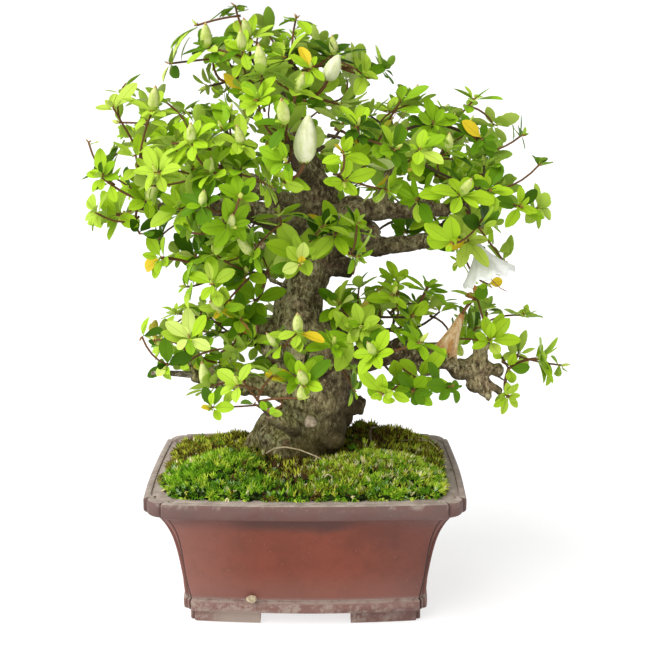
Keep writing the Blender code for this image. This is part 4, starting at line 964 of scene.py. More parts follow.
def moss_shares(x, y):
    """How much of each kind of moss shoot grows at a place on the bed."""
    patch = noise.noise(Vector((x * 60, y * 60, 7.0)))
    spots = noise.noise(Vector((x * 190, y * 190, 1.0)))
    front = clamp((-0.004 - y + patch * 0.012) / 0.014)
    back = 1.0 - front
    left, right, middle, valley, dark_back, rims = [
        patch_share(x, y, patches) for patches in MOSS_PATCHES]
    valley = min(1.0, valley * 1.15 + patch * 0.3)
    outer = clamp((-0.046 - y) / 0.012) * (left + right * 0.7)
    open_front = front * (1.0 - 0.95 * max(0.0, valley))
    # Painted light on the crests of the cushions and painted shade in their hollows, from the same
    # noise as their relief
    crest_shading = noise.noise(Vector((x, y, 0.0)) * 230.0) * 1.5
    edge = clamp((-0.053 - y) / 0.004)
    shares = {
        "bright": open_front * (left + right * 0.55 + 0.1 + patch * 0.5 + crest_shading)
                  + rims * 0.15,
        "fresh": open_front * (left * 0.9 + right * 0.7 + middle * 0.5 + 0.15) + back * 0.22
                 + edge * 0.6,
        "lime": open_front * (right * 0.9 + middle * 0.6 + left * 0.35 + spots * 0.4 + crest_shading)
                + rims * 0.3,
        "olive": back * 0.75 + middle * 0.4 + valley * 0.15 - dark_back * 0.3 + crest_shading * 0.3,
        "brown": back * 0.45 + valley * 1.3 + dark_back * 0.9 + middle * 0.35 + patch * 0.3,
        "dark": 0.3 + valley * 0.2 + dark_back * 0.6 + spots * 0.5 - crest_shading * 0.9,
        "straw": middle * 0.55 + right * 0.6 + spots * 0.5 - 0.08 + crest_shading * 0.3,
        "frost": outer * 0.9 + left * 0.15 + right * 0.2 + patch * 0.3 - 0.05 + crest_shading * 0.3,
        "strand": middle * 0.6 + rims + right * 0.2 + valley * 0.2 + spots * 0.2,
    }
    thin = 1.0 - 0.85 * at_back(y)
    return {name: share * (1.0 if name == "dark" else thin) for name, share in shares.items()}


# Patches of the bed that differ, each with its middle and its spread along x and y: the left
# mound, the right mound, the middle, the brown valley, the dark back and the rims
MOSS_PATCHES = metres((
    ((-550, -380, 340, 260),),
    ((620, -380, 340, 260),),
    ((160, -480, 300, 220),),
    ((-300, -120, 220, 150), (-400, 120, 220, 200), (-80, -320, 200, 120), (-60, -460, 90, 100)),
    ((420, 120, 300, 220),),
    ((-660, 300, 260, 300), (740, 240, 180, 300))))
# Moss shoots: name, colour, most shoots per square metre, shoot length, blade count, spread
# of the blades, and patches per metre
MOSS_SHOOTS = (
    ("bright", (0.27, 0.5, 0.022), 300000, 0.0037, 6, 0.75, 210.0),
    ("fresh", (0.12, 0.285, 0.012), 230000, 0.0036, 6, 0.75, 190.0),
    ("lime", (0.56, 0.7, 0.07), 280000, 0.004, 5, 0.65, 240.0),
    ("olive", (0.24, 0.225, 0.018), 290000, 0.0042, 5, 0.85, 170.0),
    ("brown", (0.115, 0.06, 0.02), 380000, 0.004, 4, 0.95, 150.0),
    # The dark shoots are partly dark moss and partly painted shade, gathered in the hollows away
    # from the crests
    ("dark", (0.01, 0.024, 0.004), 330000, 0.003, 5, 0.8, 230.0),
    ("straw", (0.88, 0.81, 0.45), 190000, 0.004, 3, 0.35, 320.0),
    ("frost", (0.42, 0.62, 0.28), 220000, 0.0031, 5, 0.6, 260.0),
    ("strand", (0.56, 0.6, 0.055), 190000, 0.0048, 4, 0.75, 180.0),
)
SHOOT_SIZES = (0.55, 1.35)
SHOOT_WIDTH = 0.00085


def shoot_form(rule, length, blades, spread):
    """A tuft of thin three-sided blades that lean out from one foot."""
    points = []
    faces = []
    for blade in range(blades):
        turn = 2 * math.pi * (blade + rule.uniform(-0.3, 0.3)) / blades
        lean = spread * rule.uniform(0.45, 1.1) if blade else 0.1
        outward = Vector((math.cos(turn), math.sin(turn), 0.0))
        side = Vector((-math.sin(turn), math.cos(turn), 0.0))
        tip = outward * length * math.sin(lean) + Vector((0, 0, length * math.cos(lean)))
        foot = outward * length * 0.05
        width = min(SHOOT_WIDTH, length * 0.25)
        first = len(points)
        points += [foot + side * width, foot - side * width, foot + outward * width, tip]
        faces += [(first, first + 1, first + 3), (first + 1, first + 2, first + 3),
                  (first + 2, first, first + 3), (first, first + 2, first + 1)]
    return object_from_arrays("shoot_form", points, faces)


def scatter_tree(name, shoot, material, seed):
    """Geometry Nodes that scatter realized shoots over a surface by its share attribute."""
    tree = bpy.data.node_groups.new(name, "GeometryNodeTree")
    face = tree.interface
    face.new_socket("Geometry", in_out="INPUT", socket_type="NodeSocketGeometry")
    values = [face.new_socket(value, in_out="INPUT", socket_type="NodeSocketFloat")
              for value in ("Density", "Smallest", "Largest", "Patches")]
    face.new_socket("Geometry", in_out="OUTPUT", socket_type="NodeSocketGeometry")
    given = new_node(tree, "NodeGroupInput").outputs
    share = new_node(tree, "GeometryNodeInputNamedAttribute", {"Name": "share"},
                     data_type="FLOAT")
    density = new_node(tree, "ShaderNodeMath", {
        0: share.outputs["Attribute"], 1: given["Density"]}, operation="MULTIPLY")
    where = new_node(tree, "GeometryNodeInputPosition")
    shifted = new_node(tree, "ShaderNodeVectorMath", {
        0: where.outputs["Position"], 1: (seed * 1.7, seed * 0.9, 0.0)}, operation="ADD")
    clumps = new_node(tree, "ShaderNodeTexNoise", {
        "Vector": shifted.outputs["Vector"], "Scale": given["Patches"], "Detail": 2.0})
    clumping = new_node(tree, "ShaderNodeMapRange", {
        "Value": clumps.outputs["Fac"], "From Min": 0.42, "From Max": 0.58, "To Min": 0.06})
    thinned = new_node(tree, "ShaderNodeMath", {
        0: density.outputs[0], 1: clumping.outputs["Result"]}, operation="MULTIPLY")
    scatter = new_node(tree, "GeometryNodeDistributePointsOnFaces", {
        "Mesh": given["Geometry"], "Density": thinned.outputs[0], "Seed": seed})
    held = new_node(tree, "GeometryNodeObjectInfo", {"Object": shoot})
    size = new_node(tree, "FunctionNodeRandomValue", {
        2: given["Smallest"], 3: given["Largest"], "Seed": seed + 1}, data_type="FLOAT")
    spin = new_node(tree, "FunctionNodeRandomValue", {
        0: (-0.35, -0.35, 0.0), 1: (0.35, 0.35, 2 * math.pi), "Seed": seed + 2},
        data_type="FLOAT_VECTOR")
    placed = new_node(tree, "GeometryNodeInstanceOnPoints", {
        "Points": scatter.outputs["Points"], "Instance": held.outputs["Geometry"],
        "Rotation": scatter.outputs["Rotation"], "Scale": size.outputs[1]})
    turned = new_node(tree, "GeometryNodeRotateInstances", {
        "Instances": placed.outputs["Instances"], "Rotation": spin.outputs[0],
        "Local Space": True})
    real = new_node(tree, "GeometryNodeRealizeInstances", {
        "Geometry": turned.outputs["Instances"]})
    painted = new_node(tree, "GeometryNodeSetMaterial", {
        "Geometry": real.outputs["Geometry"], "Material": material})
    new_node(tree, "NodeGroupOutput", {"Geometry": painted.outputs["Geometry"]})
    return tree, [value.identifier for value in values]


def grow_moss_shoots(bed):
    """One piece for each colour of moss shoot, scattered over the top of the bed."""
    made = []
    on_top = np.zeros(len(bed.data.vertices))
    for polygon in bed.data.polygons:
        if polygon.normal.z > -0.2 and polygon.center.z > MOSS_EDGE - 0.001:
            on_top[list(polygon.vertices)] = 1.0
    shares = [moss_shares(vertex.co.x, vertex.co.y) for vertex in bed.data.vertices]
    for number, (name, colour, density, length, blades, spread, size) in enumerate(MOSS_SHOOTS):
        rule = random.Random(RANDOM_SEED * 7 + number)
        shoot = shoot_form(rule, length, blades, spread)
        material = plain_finish("moss_" + name, colour, 0.75, gloss=0.15)
        surface = new_object("moss_" + name, bed.data.copy())
        attribute = surface.data.attributes.new("share", "FLOAT", "POINT")
        values = np.array([share[name] for share in shares]) * on_top
        attribute.data.foreach_set("value", np.clip(values, 0.0, 1.0).astype(np.float32))
        tree, sockets = scatter_tree("scatter_" + name, shoot, material, 11 + number)
        modifier = surface.modifiers.new("Shoots", "NODES")
        modifier.node_group = tree
        for socket, value in zip(sockets, (float(density), *SHOOT_SIZES, size)):
            modifier[socket] = value
        bake_modifiers(surface)
        bpy.data.objects.remove(shoot, do_unlink=True)
        made.append((surface, material))
    return made


# Trunk and boughs

def bough_route(root, halfway, tip, root_radius, tip_radius, seed):
    """A tapering route bent through its halfway point, with the kinks of old wood."""
    rule = random.Random(seed)
    root = Vector(root)
    tip = Vector(tip)
    control = 2 * Vector(halfway) - (root + tip) / 2
    length = (tip - root).length
    route = []
    for step in range(BOUGH_SEGMENTS + 1):
        t = step / BOUGH_SEGMENTS
        point = root * (1 - t) ** 2 + control * 2 * t * (1 - t) + tip * t ** 2
        if 0 < step < BOUGH_SEGMENTS:
            kink = Vector([rule.uniform(-1, 1) for _ in range(3)])
            point += kink * BOUGH_KINK * length * math.sin(math.pi * t) * 0.5
        route.append((point, root_radius + (tip_radius - root_radius) * t ** 0.8))
    return route


def root_route(heading, reach, radius):
    """A surface root from inside the trunk's foot out and down into the moss."""
    turn = math.radians(heading)
    axis = Vector((TRUNK_STATIONS[1][0][0], TRUNK_STATIONS[1][0][1], 0))
    outward = Vector((math.cos(turn), math.sin(turn), 0))
    top = axis + outward * 0.012 + Vector((0, 0, ROOT_CROWN))
    knee = axis + outward * reach * 0.66 + Vector((0, 0, (ROOT_CROWN + 2 * ROOT_FOOT) / 3))
    foot = axis + outward * reach + Vector((0, 0, ROOT_FOOT - 0.001))
    return [(top, radius), (knee, radius * 0.72), (foot, radius * 0.5)]


def finer_route(route, steps):
    """More stations on a smooth line through a route's own, each a place and a radius."""
    rows = [Vector((*place, radius)) for place, radius in route]
    return [(row.xyz, row.w) for row in smooth_rows(rows, steps)]


def knobbly(route, seed, sway, swell):
    """The same route with the small bends and swellings of grown wood."""
    grown = []
    for number, (place, radius) in enumerate(route):
        where = place * 60.0 + Vector((seed * 3.1, 0, 0))
        shift = noise.noise_vector(where) * sway * min(1.0, number / 3)
        size = 1.0 + noise.noise(place * 110.0 + Vector((0, seed * 2.3, 0))) * swell
        grown.append((place + shift, radius * size))
    return grown


def skin(rows, sides, caps=2):
    """Faces between rows of points about a line, and over its first end or both ends."""
    faces = []
    for low in range(0, (rows - 1) * sides, sides):
        high = low + sides
        for side in range(sides):
            after = (side + 1) % sides
            faces.append((low + side, low + after, high + after, high + side))
    ends = [tuple(reversed(range(sides))), tuple(range((rows - 1) * sides, rows * sides))]
    return faces + ends[:caps]


def ways_about(heading, sides):
    """Turns about a heading, each with its direction square to the heading."""
    across = heading.orthogonal().normalized()
    other = heading.cross(across)
    turns = [2 * math.pi * side / sides for side in range(sides)]
    return [(turn, across * math.cos(turn) + other * math.sin(turn)) for turn in turns]


def tube_arrays(route, sides):
    """Rings about a route with its ends closed, as points and faces."""
    points = []
    across = None
    for index, (place, radius) in enumerate(route):
        before = route[max(index - 1, 0)][0]
        after = route[min(index + 1, len(route) - 1)][0]
        heading = (after - before).normalized()
        if across is None:
            across = heading.orthogonal().normalized()
        across = (across - heading * across.dot(heading)).normalized()
        other = heading.cross(across)
        for side in range(sides):
            turn = 2 * math.pi * side / sides
            points.append(place + (across * math.cos(turn) + other * math.sin(turn)) * radius)
    return points, skin(len(route), sides)


def lump_arrays(place, radius):
    """A small ball, as points and faces."""
    form = bmesh.new()
    bmesh.ops.create_icosphere(form, subdivisions=2, radius=radius)
    points = [vertex.co + Vector(place) for vertex in form.verts]
    faces = [tuple(vertex.index for vertex in face.verts) for face in form.faces]
    form.free()
    return points, faces


def join_arrays(parts):
    """The points and faces of many parts as one."""
    points = []
    faces = []
    for part_points, part_faces in parts:
        first = len(points)
        points += list(part_points)
        faces += [tuple(index + first for index in face) for face in part_faces]
    return points, faces


def joined_piece(name, parts, slots=None):
    """One smooth object of many parts, each given as points and faces."""
    made = object_from_arrays(name, *join_arrays(parts), slots)
    made.data.shade_smooth()
    return made


def limb_routes():
    """The trunk, its roots and stubs, and each bough by name."""
    trunk = finer_route([(Vector(place), radius) for place, radius in TRUNK_STATIONS], 2)
    others = [root_route(*root) for root in ROOTS]
    for start, end, radius, cut_radius in STUBS:
        middle = (Vector(start) + Vector(end)) / 2
        others.append([(Vector(start), radius), (middle, radius * 0.9), (Vector(end), cut_radius)])
    boughs = {}
    for index, (name, root, halfway, tip, root_radius, tip_radius) in enumerate(BOUGHS):
        boughs[name] = bough_route(root, halfway, tip, root_radius, tip_radius,
                                   RANDOM_SEED + index)
    return trunk, others, boughs


def bark_relief(place):
    """Ridges, burrs and scales of old azalea bark, in metres out of the smooth limb."""
    on_trunk = place.z < 0.235 and abs(place.x) < 0.035 and abs(place.y) < 0.035
    stretched = Vector((place.x, place.y, place.z * (0.35 if on_trunk else 0.8)))
    ridges = abs(noise.noise(stretched * 115.0)) * 2.0 - 0.5
    lumps = noise.noise(place * 62.0)
    scales = noise.fractal(place * 420.0, 0.8, 2.1, 3)
    return ridges * 0.00085 + lumps * 0.0013 + scales * 0.00042


def build_bark(trunk, others, boughs, stems):
    """Every limb fused into one skin by a voxel remesh, then given the bark's relief."""
    parts = [tube_arrays(knobbly(finer_route(trunk, 3), 1, 0.0011, 0.1), TRUNK_SIDES)]
    for number, route in enumerate(others):
        grown = knobbly(finer_route(route, 5), 20 + number, 0.0008, 0.14)
        parts.append(tube_arrays(grown, ROOT_SIDES))
    for number, route in enumerate(boughs.values()):
        grown = knobbly(finer_route(route, 5), 40 + number, 0.001, 0.22)
        parts.append(tube_arrays(grown, LIMB_SIDES))
    parts += [tube_arrays(route, STEM_SIDES) for route in stems]
    parts += [lump_arrays(place, radius) for place, radius in BURRS]
    bark = object_from_arrays("bark", *join_arrays(parts))
    remesh = bark.modifiers.new("Skin", "REMESH")
    remesh.mode = "VOXEL"
    remesh.voxel_size = BARK_GRAIN
    soften = bark.modifiers.new("Soften", "SMOOTH")
    soften.factor = 0.5
    soften.iterations = 3
    bake_modifiers(bark)
    mesh = bark.data
    normals = np.zeros(len(mesh.vertices) * 3)
    mesh.vertex_normals.foreach_get("vector", normals)
    places = vertex_places(mesh)
    relief = np.array([bark_relief(Vector(place)) for place in places])
    calm = np.clip((places[:, 2] - 0.08) / 0.02, 0.2, 1.0)
    places += normals.reshape(-1, 3) * (relief * calm)[:, None]
    mesh.vertices.foreach_set("co", places.ravel())
    mesh.shade_smooth()
    mesh.update()
    return bark


def build_cut_faces():
    """The old saw cuts at the ends of the stubs, a little proud of the bark."""
    parts = []
    slots = []
    for number, slot in SAWN_STUBS.items():
        start, end, _, cut_radius = STUBS[number]
        heading = (Vector(end) - Vector(start)).normalized()
        ways = ways_about(heading, LIMB_SIDES)
        places = []
        for share, out in CUT_ROWS:
            for turn, way in ways:
                wobble = 1.0 + 0.1 * math.sin(3 * turn + number)
                reach = cut_radius * 0.86 * share * wobble
                places.append(Vector(end) + heading * out + way * reach)
        faces = skin(len(CUT_ROWS), LIMB_SIDES, 1)
        parts.append((places, faces))
        slots += [slot] * len(faces)
    cuts = object_from_arrays("cut_faces", *join_arrays(parts), slots)
    form = bmesh.new()
    form.from_mesh(cuts.data)
    bmesh.ops.remove_doubles(form, verts=form.verts, dist=1e-6)
    bmesh.ops.recalc_face_normals(form, faces=form.faces)
    form.to_mesh(cuts.data)
    form.free()
    cuts.data.shade_smooth()
    return cuts


# Twigs

def pad_lobes():
    """Spheres along the middle line of each pad, with the mass that owns each."""
    lobes = []
    for name, _, pads in MASSES:
        for inner, outer, radius in pads:
            inner = Vector(inner)
            outer = Vector(outer)
            steps = max(1, round((outer - inner).length / LOBE_SPACING))
            for step in range(steps + 1):
                lobes.append((name, inner.lerp(outer, step / steps), radius))
    return lobes


class Space:
    """The pads of one mass, the pads of the others near them, and the limbs among them."""

    def __init__(self, mass, lobes, limbs):
        own = [(*centre, radius) for name, centre, radius in lobes if name == mass]
        self.own = np.array(own)
        near = []
        for name, centre, radius in lobes:
            gaps = np.linalg.norm(self.own[:, :3] - np.array(centre), axis=1)
            if name != mass and (gaps < radius + self.own[:, 3] + 0.01).any():
                near.append((*centre, radius))
        self.others = np.array(near).reshape(-1, 4)
        self.limbs = limbs

    def inside(self, places, margin=PAD_MARGIN):
        """True for places in the mass's own pads and nearer to them than to another's."""
        places = np.atleast_2d(places)
        gaps = np.linalg.norm(places[:, None, :] - self.own[None, :, :3], axis=2)
        good = (self.own[:, 3] - gaps).max(axis=1) >= margin
        if len(self.others):
            power = (gaps ** 2 - self.own[:, 3] ** 2).min(axis=1)
            far = np.linalg.norm(places[:, None, :] - self.others[None, :, :3], axis=2)
            rival = far ** 2 - self.others[:, 3] ** 2 - power[:, None]
            good &= (rival >= margin * 2 * self.others[:, 3]).all(axis=1)
        return good

    def clear(self, places, reach):
        """True for places whose ball of this reach touches no limb."""
        places = np.atleast_2d(places)
        start, end, start_radius, end_radius = self.limbs
        along = end - start
        t = ((places[:, None, :] - start) * along).sum(axis=2) / (along ** 2).sum(axis=1)
        t = np.clip(t, 0.0, 1.0)
        gaps = np.linalg.norm(places[:, None, :] - start - along * t[:, :, None], axis=2)
        radius = start_radius + (end_radius - start_radius) * t
        reach = np.broadcast_to(reach, len(places))
        return (gaps >= radius + reach[:, None] + LIMB_MARGIN).all(axis=1)

    def outward(self, place):
        """From the nearest pad's middle to the place, in pad radii."""
        gaps = np.linalg.norm(self.own[:, :3] - place, axis=1)
        nearest = self.own[gaps.argmin()]
        return (place - nearest[:3]) / nearest[3]


def limb_table(routes):
    """The starts, ends and radii of all the stretches of the routes, as arrays."""
    rows = [(*start, *end, start_radius, end_radius)
            for route in routes
            for (start, start_radius), (end, end_radius) in zip(route, route[1:])]
    table = np.array(rows)
    return table[:, 0:3], table[:, 3:6], table[:, 6], table[:, 7]


def unit(vector):
    return vector / max(np.linalg.norm(vector), 1e-12)


def seen_from_front(place):
    """Where a place appears on the plane y = FRONT_PLANE to the photo's camera."""
    share = (FRONT_PLANE - PHOTO_CAMERA[1]) / (place[1] - PHOTO_CAMERA[1])
    return (PHOTO_CAMERA[0] + (place[0] - PHOTO_CAMERA[0]) * share,
            PHOTO_CAMERA[2] + (place[2] - PHOTO_CAMERA[2]) * share)


def kept_open(place):
    """True where a leaf or the end of a twig would stand in an open place."""
    x, z = seen_from_front(place)
    return any(place[1] < depth and math.hypot(x - open_x, z - open_z) < radius
               for depth, spots in OPEN_PLACES for open_x, open_z, radius in spots)


def place_sites(rule, mass, pads, space):
    """Spreads the ends of the twigs through the pads, each far from the rest."""
    volume = sum(math.pi * radius ** 2 * (math.dist(inner, outer) + radius * 1.1)
                 for inner, outer, radius in pads)
    count = max(8, round(volume / SITE_SPACE * FULLNESS.get(mass, 1.0)))
    picks = rule.integers(0, len(space.own), SITE_TRIALS)
    ways = rule.normal(size=(SITE_TRIALS, 3))
    ways /= np.linalg.norm(ways, axis=1)[:, None]
    depth = rule.random(SITE_TRIALS) ** 0.36
    reach = (space.own[picks, 3] - SITE_INSET) * depth
    trials = space.own[picks, :3] + ways * reach[:, None]
    trials = trials[space.inside(trials, SITE_INSET) & space.clear(trials, SITE_REACH)]
    trials = trials[[not kept_open(trial) for trial in trials]]
    if not len(trials):
        return []
    sites = [trials[0]]
    gaps = np.linalg.norm(trials - trials[0], axis=1)
    while len(sites) < min(count, len(trials)):
        pick = gaps.argmax()
        sites.append(trials[pick])
        gaps = np.minimum(gaps, np.linalg.norm(trials - trials[pick], axis=1))
    return sites


class Twig:
    """One twig: the twig and the share of it that it leaves from, and its two ends."""

    def __init__(self, parent, share, start, end, travelled):
        self.parent = parent
        self.share = share
        self.start = start
        self.end = end
        self.travelled = travelled
        self.load = 1.0
        self.heading = unit(end - start)

    def at(self, share):
        return self.start + (self.end - self.start) * share


def grow_twigs(stem, sites, space):
    """Joins each site to the nearest free place on the twigs so far, nearest sites first."""
    twigs = [stem]
    nodes = [(stem, share) for share in (0.55, 0.7, 0.85, 1.0)]
    for site in sorted(sites, key=lambda place: np.linalg.norm(place - stem.start)):
        costs = [np.linalg.norm(site - twig.at(share)) + PATH_COST * twig.travelled
                 for twig, share in nodes]
        for pick in np.argsort(costs)[:8]:
            parent, share = nodes[pick]
            start = parent.at(share)
            steps = start + (site - start) * np.linspace(0.2, 1.0, 5)[:, None]
            if space.inside(steps).all() and space.clear(steps, 0.0008).all():
                length = np.linalg.norm(site - start)
                twig = Twig(parent, share, start, site, parent.travelled + length)
                nodes.pop(pick)
                nodes += [(twig, share) for share in BRANCHING]
                twigs.append(twig)
                break
    for twig in reversed(twigs[1:]):
        twig.parent.load += twig.load
    return twigs


def twig_route(twig, rule):
    """A twig as a bent, tapering route that swells where it joins its parent."""
    base = TWIG_TIP_RADIUS * twig.load ** 0.44
    length = np.linalg.norm(twig.end - twig.start)
    lean = twig.parent.heading if twig.parent is not None else twig.heading
    control = twig.start + (twig.heading * 0.35 + lean * 0.25) * length
    control += np.array((0, 0, -0.1)) * length + rule.normal(size=3) * 0.05 * length
    route = []
    start = twig.start - twig.heading * 0.0008
    for step in range(TWIG_BENDS + 1):
        t = step / TWIG_BENDS
        place = start * (1 - t) ** 2 + control * 2 * t * (1 - t) + twig.end * t ** 2
        radius = base + (TWIG_TIP_RADIUS - base) * t
        route.append((Vector(place), radius * (1.25 if step == 0 else 1.0)))
    return route


# Leaves

def leaf_faces(rows):
    """A leaf's faces: each row holds margin, both edges of the rib, margin and keel."""
    upper = []
    rib = []
    lower = []
    for row in range(rows - 1):
        low = row * 5
        high = low + 5
        upper.append((low, low + 1, high + 1, high))
        rib.append((low + 1, low + 2, high + 2, high + 1))
        upper.append((low + 2, low + 3, high + 3, high + 2))
        lower.append((low, high, high + 4, low + 4))
        lower.append((low + 4, high + 4, high + 3, low + 3))
    last = (rows - 1) * 5
    lower.append((0, 4, 3, 2, 1))
    lower.append(tuple(last + column for column in (0, 1, 2, 3, 4)))
    return upper, lower, rib


LEAF_ROWS = len(LEAF_OUTLINE)
LEAF_POINTS = LEAF_ROWS * 5
LEAF_FACES = [face for kind in leaf_faces(LEAF_ROWS) for face in kind]
LEAF_SLOTS = [slot for slot, kind in enumerate(leaf_faces(LEAF_ROWS)) for face in kind]


def leaf_shape(base, heading, upward, length, width, bend, fold, twist):
    """Places a leaf's rows along its curved rib."""
    side = unit(np.cross(upward, heading))
    normal = np.cross(heading, side)
    shape = []
    for share, half in LEAF_OUTLINE:
        turned = bend * share
        run = math.sin(turned) / bend if abs(bend) > 1e-4 else share
        drop = (1 - math.cos(turned)) / bend if abs(bend) > 1e-4 else 0.0
        centre = base + heading * run * length - normal * drop * length
        local_normal = normal * math.cos(turned) + heading * math.sin(turned)
        roll = twist * share
        across = side * math.cos(roll) + local_normal * math.sin(roll)
        up = local_normal * math.cos(roll) - side * math.sin(roll)
        reach = half * width / 2
        rib = min(RIB_HALF_WIDTH * (1.0 - 0.6 * share), reach * 0.4)
        raised = up * reach * math.tan(fold)
        shape += [centre - across * reach + raised, centre - across * rib,
                  centre + across * rib, centre + across * reach + raised,
                  centre - up * LEAF_THICKNESS * (0.5 + half * 0.5)]
    return np.array(shape)


def leaf_places(shape):
    """Places of a leaf that have to stay inside its pad."""
    rows = (2, 4, 6, 7)
    places = [shape[row * 5 + column] for row in rows for column in (0, 2, 3)]
    return np.array(places)


def whorl_axis(twig, space):
    """A whorl faces on along its twig, out of its pad and up to the light."""
    outward = space.outward(twig.end) + np.array((0, -0.04, 0.62))
    for weight in (0.35, 0.6, 1.0, 1.6, 2.6):
        axis = unit(twig.heading * weight + outward)
        if axis.dot(twig.heading) > 0.45:
            break
    return axis


def leaf_fits(shape, space, loose):
    """Whether a leaf stays in its pad, clear of the boughs and out of the open places."""
    places = leaf_places(shape)
    return (space.inside(places, PAD_MARGIN - LEAF_OVERHANG * loose).all()
            and space.clear(places, 0.0002).all()
            and shape[:, 2].max() < CROWN_TOP
            and not any(kept_open(place) for place in places))


def grow_whorl(rule, end, lower, axis, space=None, size=1.0):
    """The leaves of one spray: an outer whorl, new leaves inside it and a few lower down."""
    across = unit(np.cross(axis, (0.31, 0.52, 0.79)))
    other = np.cross(axis, across)
    leaves = []
    kinds = ((OUTER_LEAVES, 1.0, (50, 84), end, 0.0), (INNER_LEAVES, 0.58, (20, 46), end, 0.0016),
             (LOWER_LEAVES, 0.9, (58, 88), lower, 0.0012))
    for counts, scale, (steep, flat), foot, lift in kinds:
        count = counts[rule.integers(len(counts))]
        spin = rule.uniform(0, 2 * math.pi)
        for number in range(count):
            turn = spin + 2 * math.pi * (number + rule.uniform(-0.16, 0.16)) / count
            radial = across * math.cos(turn) + other * math.sin(turn)
            tilt = rule.uniform(steep, flat)
            growth = rule.uniform(0.62, 1.12)
            length = LEAF_LENGTH * scale * size * growth
            width = LEAF_WIDTH * scale * size * growth ** 0.7 * rule.uniform(0.84, 1.12)
            bend = rule.uniform(-0.1, 0.62)
            fold = math.radians(rule.uniform(4, 22))
            twist = rule.uniform(-0.35, 0.35)
            loose = rule.random() ** 0.6
            base = foot + axis * (lift - rule.uniform(0.0, 0.0022))
            for shrink, change in zip(LEAF_SHRINK, LEAF_TILTS):
                lean = math.radians(min(max(tilt + change, 8), 112))
                heading = unit(axis * math.cos(lean) + radial * math.sin(lean))
                facing = unit(axis * math.sin(lean) - radial * math.cos(lean)
                              + np.array((0, 0, 0.25)))
                shape = leaf_shape(base + radial * 0.0006, heading, facing, length * shrink,
                                   width * shrink ** 0.5, bend, fold, twist)
                if space is None or leaf_fits(shape, space, loose):
                    leaves.append(shape)
                    break
    return leaves


def spray_light(twig, space):
    """How sunlit a spray is: 1 at the top and outside of the crown, 0 deep inside."""
    outward = space.outward(twig.end)
    rim = min(1.0, float(np.linalg.norm(outward)))
    crown = unit(twig.end - np.array(CROWN_MIDDLE))
    facing = 0.42 + 0.4 * outward[2] + 0.12 * crown[2] - 0.14 * crown[0] - 0.12 * outward[1]
    if twig.end[2] < LOW_SPRAYS:
        facing *= 0.72
    return clamp(facing * (0.45 + 0.55 * rim))


def pick_colour(rule, light):
    """The number of a leaf colour, drawn by how sunlit the spray is."""
    weights = np.array([sun * light + shade * (1 - light) for *_, sun, shade in LEAF_COLOURS])
    return int(rule.choice(len(LEAF_COLOURS), p=weights / weights.sum()))


def leaf_piece(name, shapes):
    """Many leaves joined as one mesh."""
    count = len(shapes)
    sizes = np.array([len(face) for face in LEAF_FACES])
    corners = np.concatenate([np.array(face) for face in LEAF_FACES])
    offsets = np.arange(count)[:, None] * LEAF_POINTS
    corners = (corners[None, :] + offsets).ravel().astype(np.int32)
    starts = np.concatenate(([0], np.cumsum(np.tile(sizes, count))[:-1])).astype(np.int32)
    mesh = bpy.data.meshes.new(name)
    mesh.vertices.add(count * LEAF_POINTS)
    mesh.vertices.foreach_set("co", np.concatenate(shapes).ravel())
    mesh.loops.add(len(corners))
    mesh.loops.foreach_set("vertex_index", corners)
    mesh.polygons.add(len(starts))
    mesh.polygons.foreach_set("loop_start", starts)
    mesh.polygons.foreach_set("material_index", np.tile(LEAF_SLOTS, count).astype(np.int32))
    mesh.update(calc_edges=True)
    mesh.validate()
    mesh.shade_smooth()
    mesh.set_sharp_from_angle(angle=math.radians(LEAF_CREASE))
    return new_object(name, mesh)


# Buds, flowers and loose things

def mottled_finish(name, first, second, scale, roughness, streaked=False):
    """Two colours dealt out by a noise, with a fine relief."""
    made = Finish(name, first, roughness, 0.15)
    place = made.stretched((1.0, 1.0, 0.22)) if streaked else made.place
    blotches = made.noise(scale, 4.0, 0.7, 0.3, place)
    grain = made.noise(scale * 5.0, 3.0, 0.7, 0.0, place)
    made.colour(made.blend(made.spread(blotches, 0.38, 0.62), first, second))
    made.roughness(made.spread(grain, 0.3, 0.7, roughness - 0.08, roughness + 0.08))
    made.bump(blotches, 0.5, 0.0006)
    made.bump(grain, 0.4, 0.0002)
    return made.material


def spindle_arrays(base, heading, length, width, outline, flute=0.0, twist=0.0):
    """A closed spindle with five flutes that turn about it, as points and faces."""
    heading = Vector(heading).normalized()
    ways = ways_about(heading, BUD_SIDES)
    points = []
    for share, half in outline:
        for turn, way in ways:
            reach = half * width / 2 * (1.0 + flute * math.cos(5 * turn + twist * share))
            points.append(Vector(base) + heading * length * share + way * reach)
    return points, skin(len(outline), BUD_SIDES)


def spindle_slots(outline, base_share, tip_share):
    """Slot 1 for the faces near the base, 2 for those at the tip, 0 between."""
    slots = []
    for row, after in zip(outline, outline[1:]):
        middle = (row[0] + after[0]) / 2
        slots += [1 if middle < base_share else 2 if middle > tip_share else 0] * BUD_SIDES
    return slots + [1, 2]


def build_large_buds(sprays):
    """A large bud on the spray that stands nearest to each of the chosen places."""
    parts = []
    slots = []
    for (x, z), length in LARGE_BUDS:
        gaps = []
        for end, axis in sprays:
            seen_x, seen_z = seen_from_front(end)
            gaps.append(math.hypot(seen_x - x, seen_z - z) + 0.3 * (end[1] + 0.09))
        end, axis = sprays[int(np.argmin(gaps))]
        lean = math.sin(length * 9000.0 + x * 700.0) * 0.45
        heading = Vector(unit(axis * 0.7 + np.array((lean, -0.15, 0.8))))
        base = Vector(end) - heading * 0.001
        parts.append(spindle_arrays(base, heading, length, length * 0.43, BUD_OUTLINE, 0.11, 2.4))
        slots += spindle_slots(BUD_OUTLINE, 0.2, 0.88)
    return joined_piece("large_buds", parts, slots)


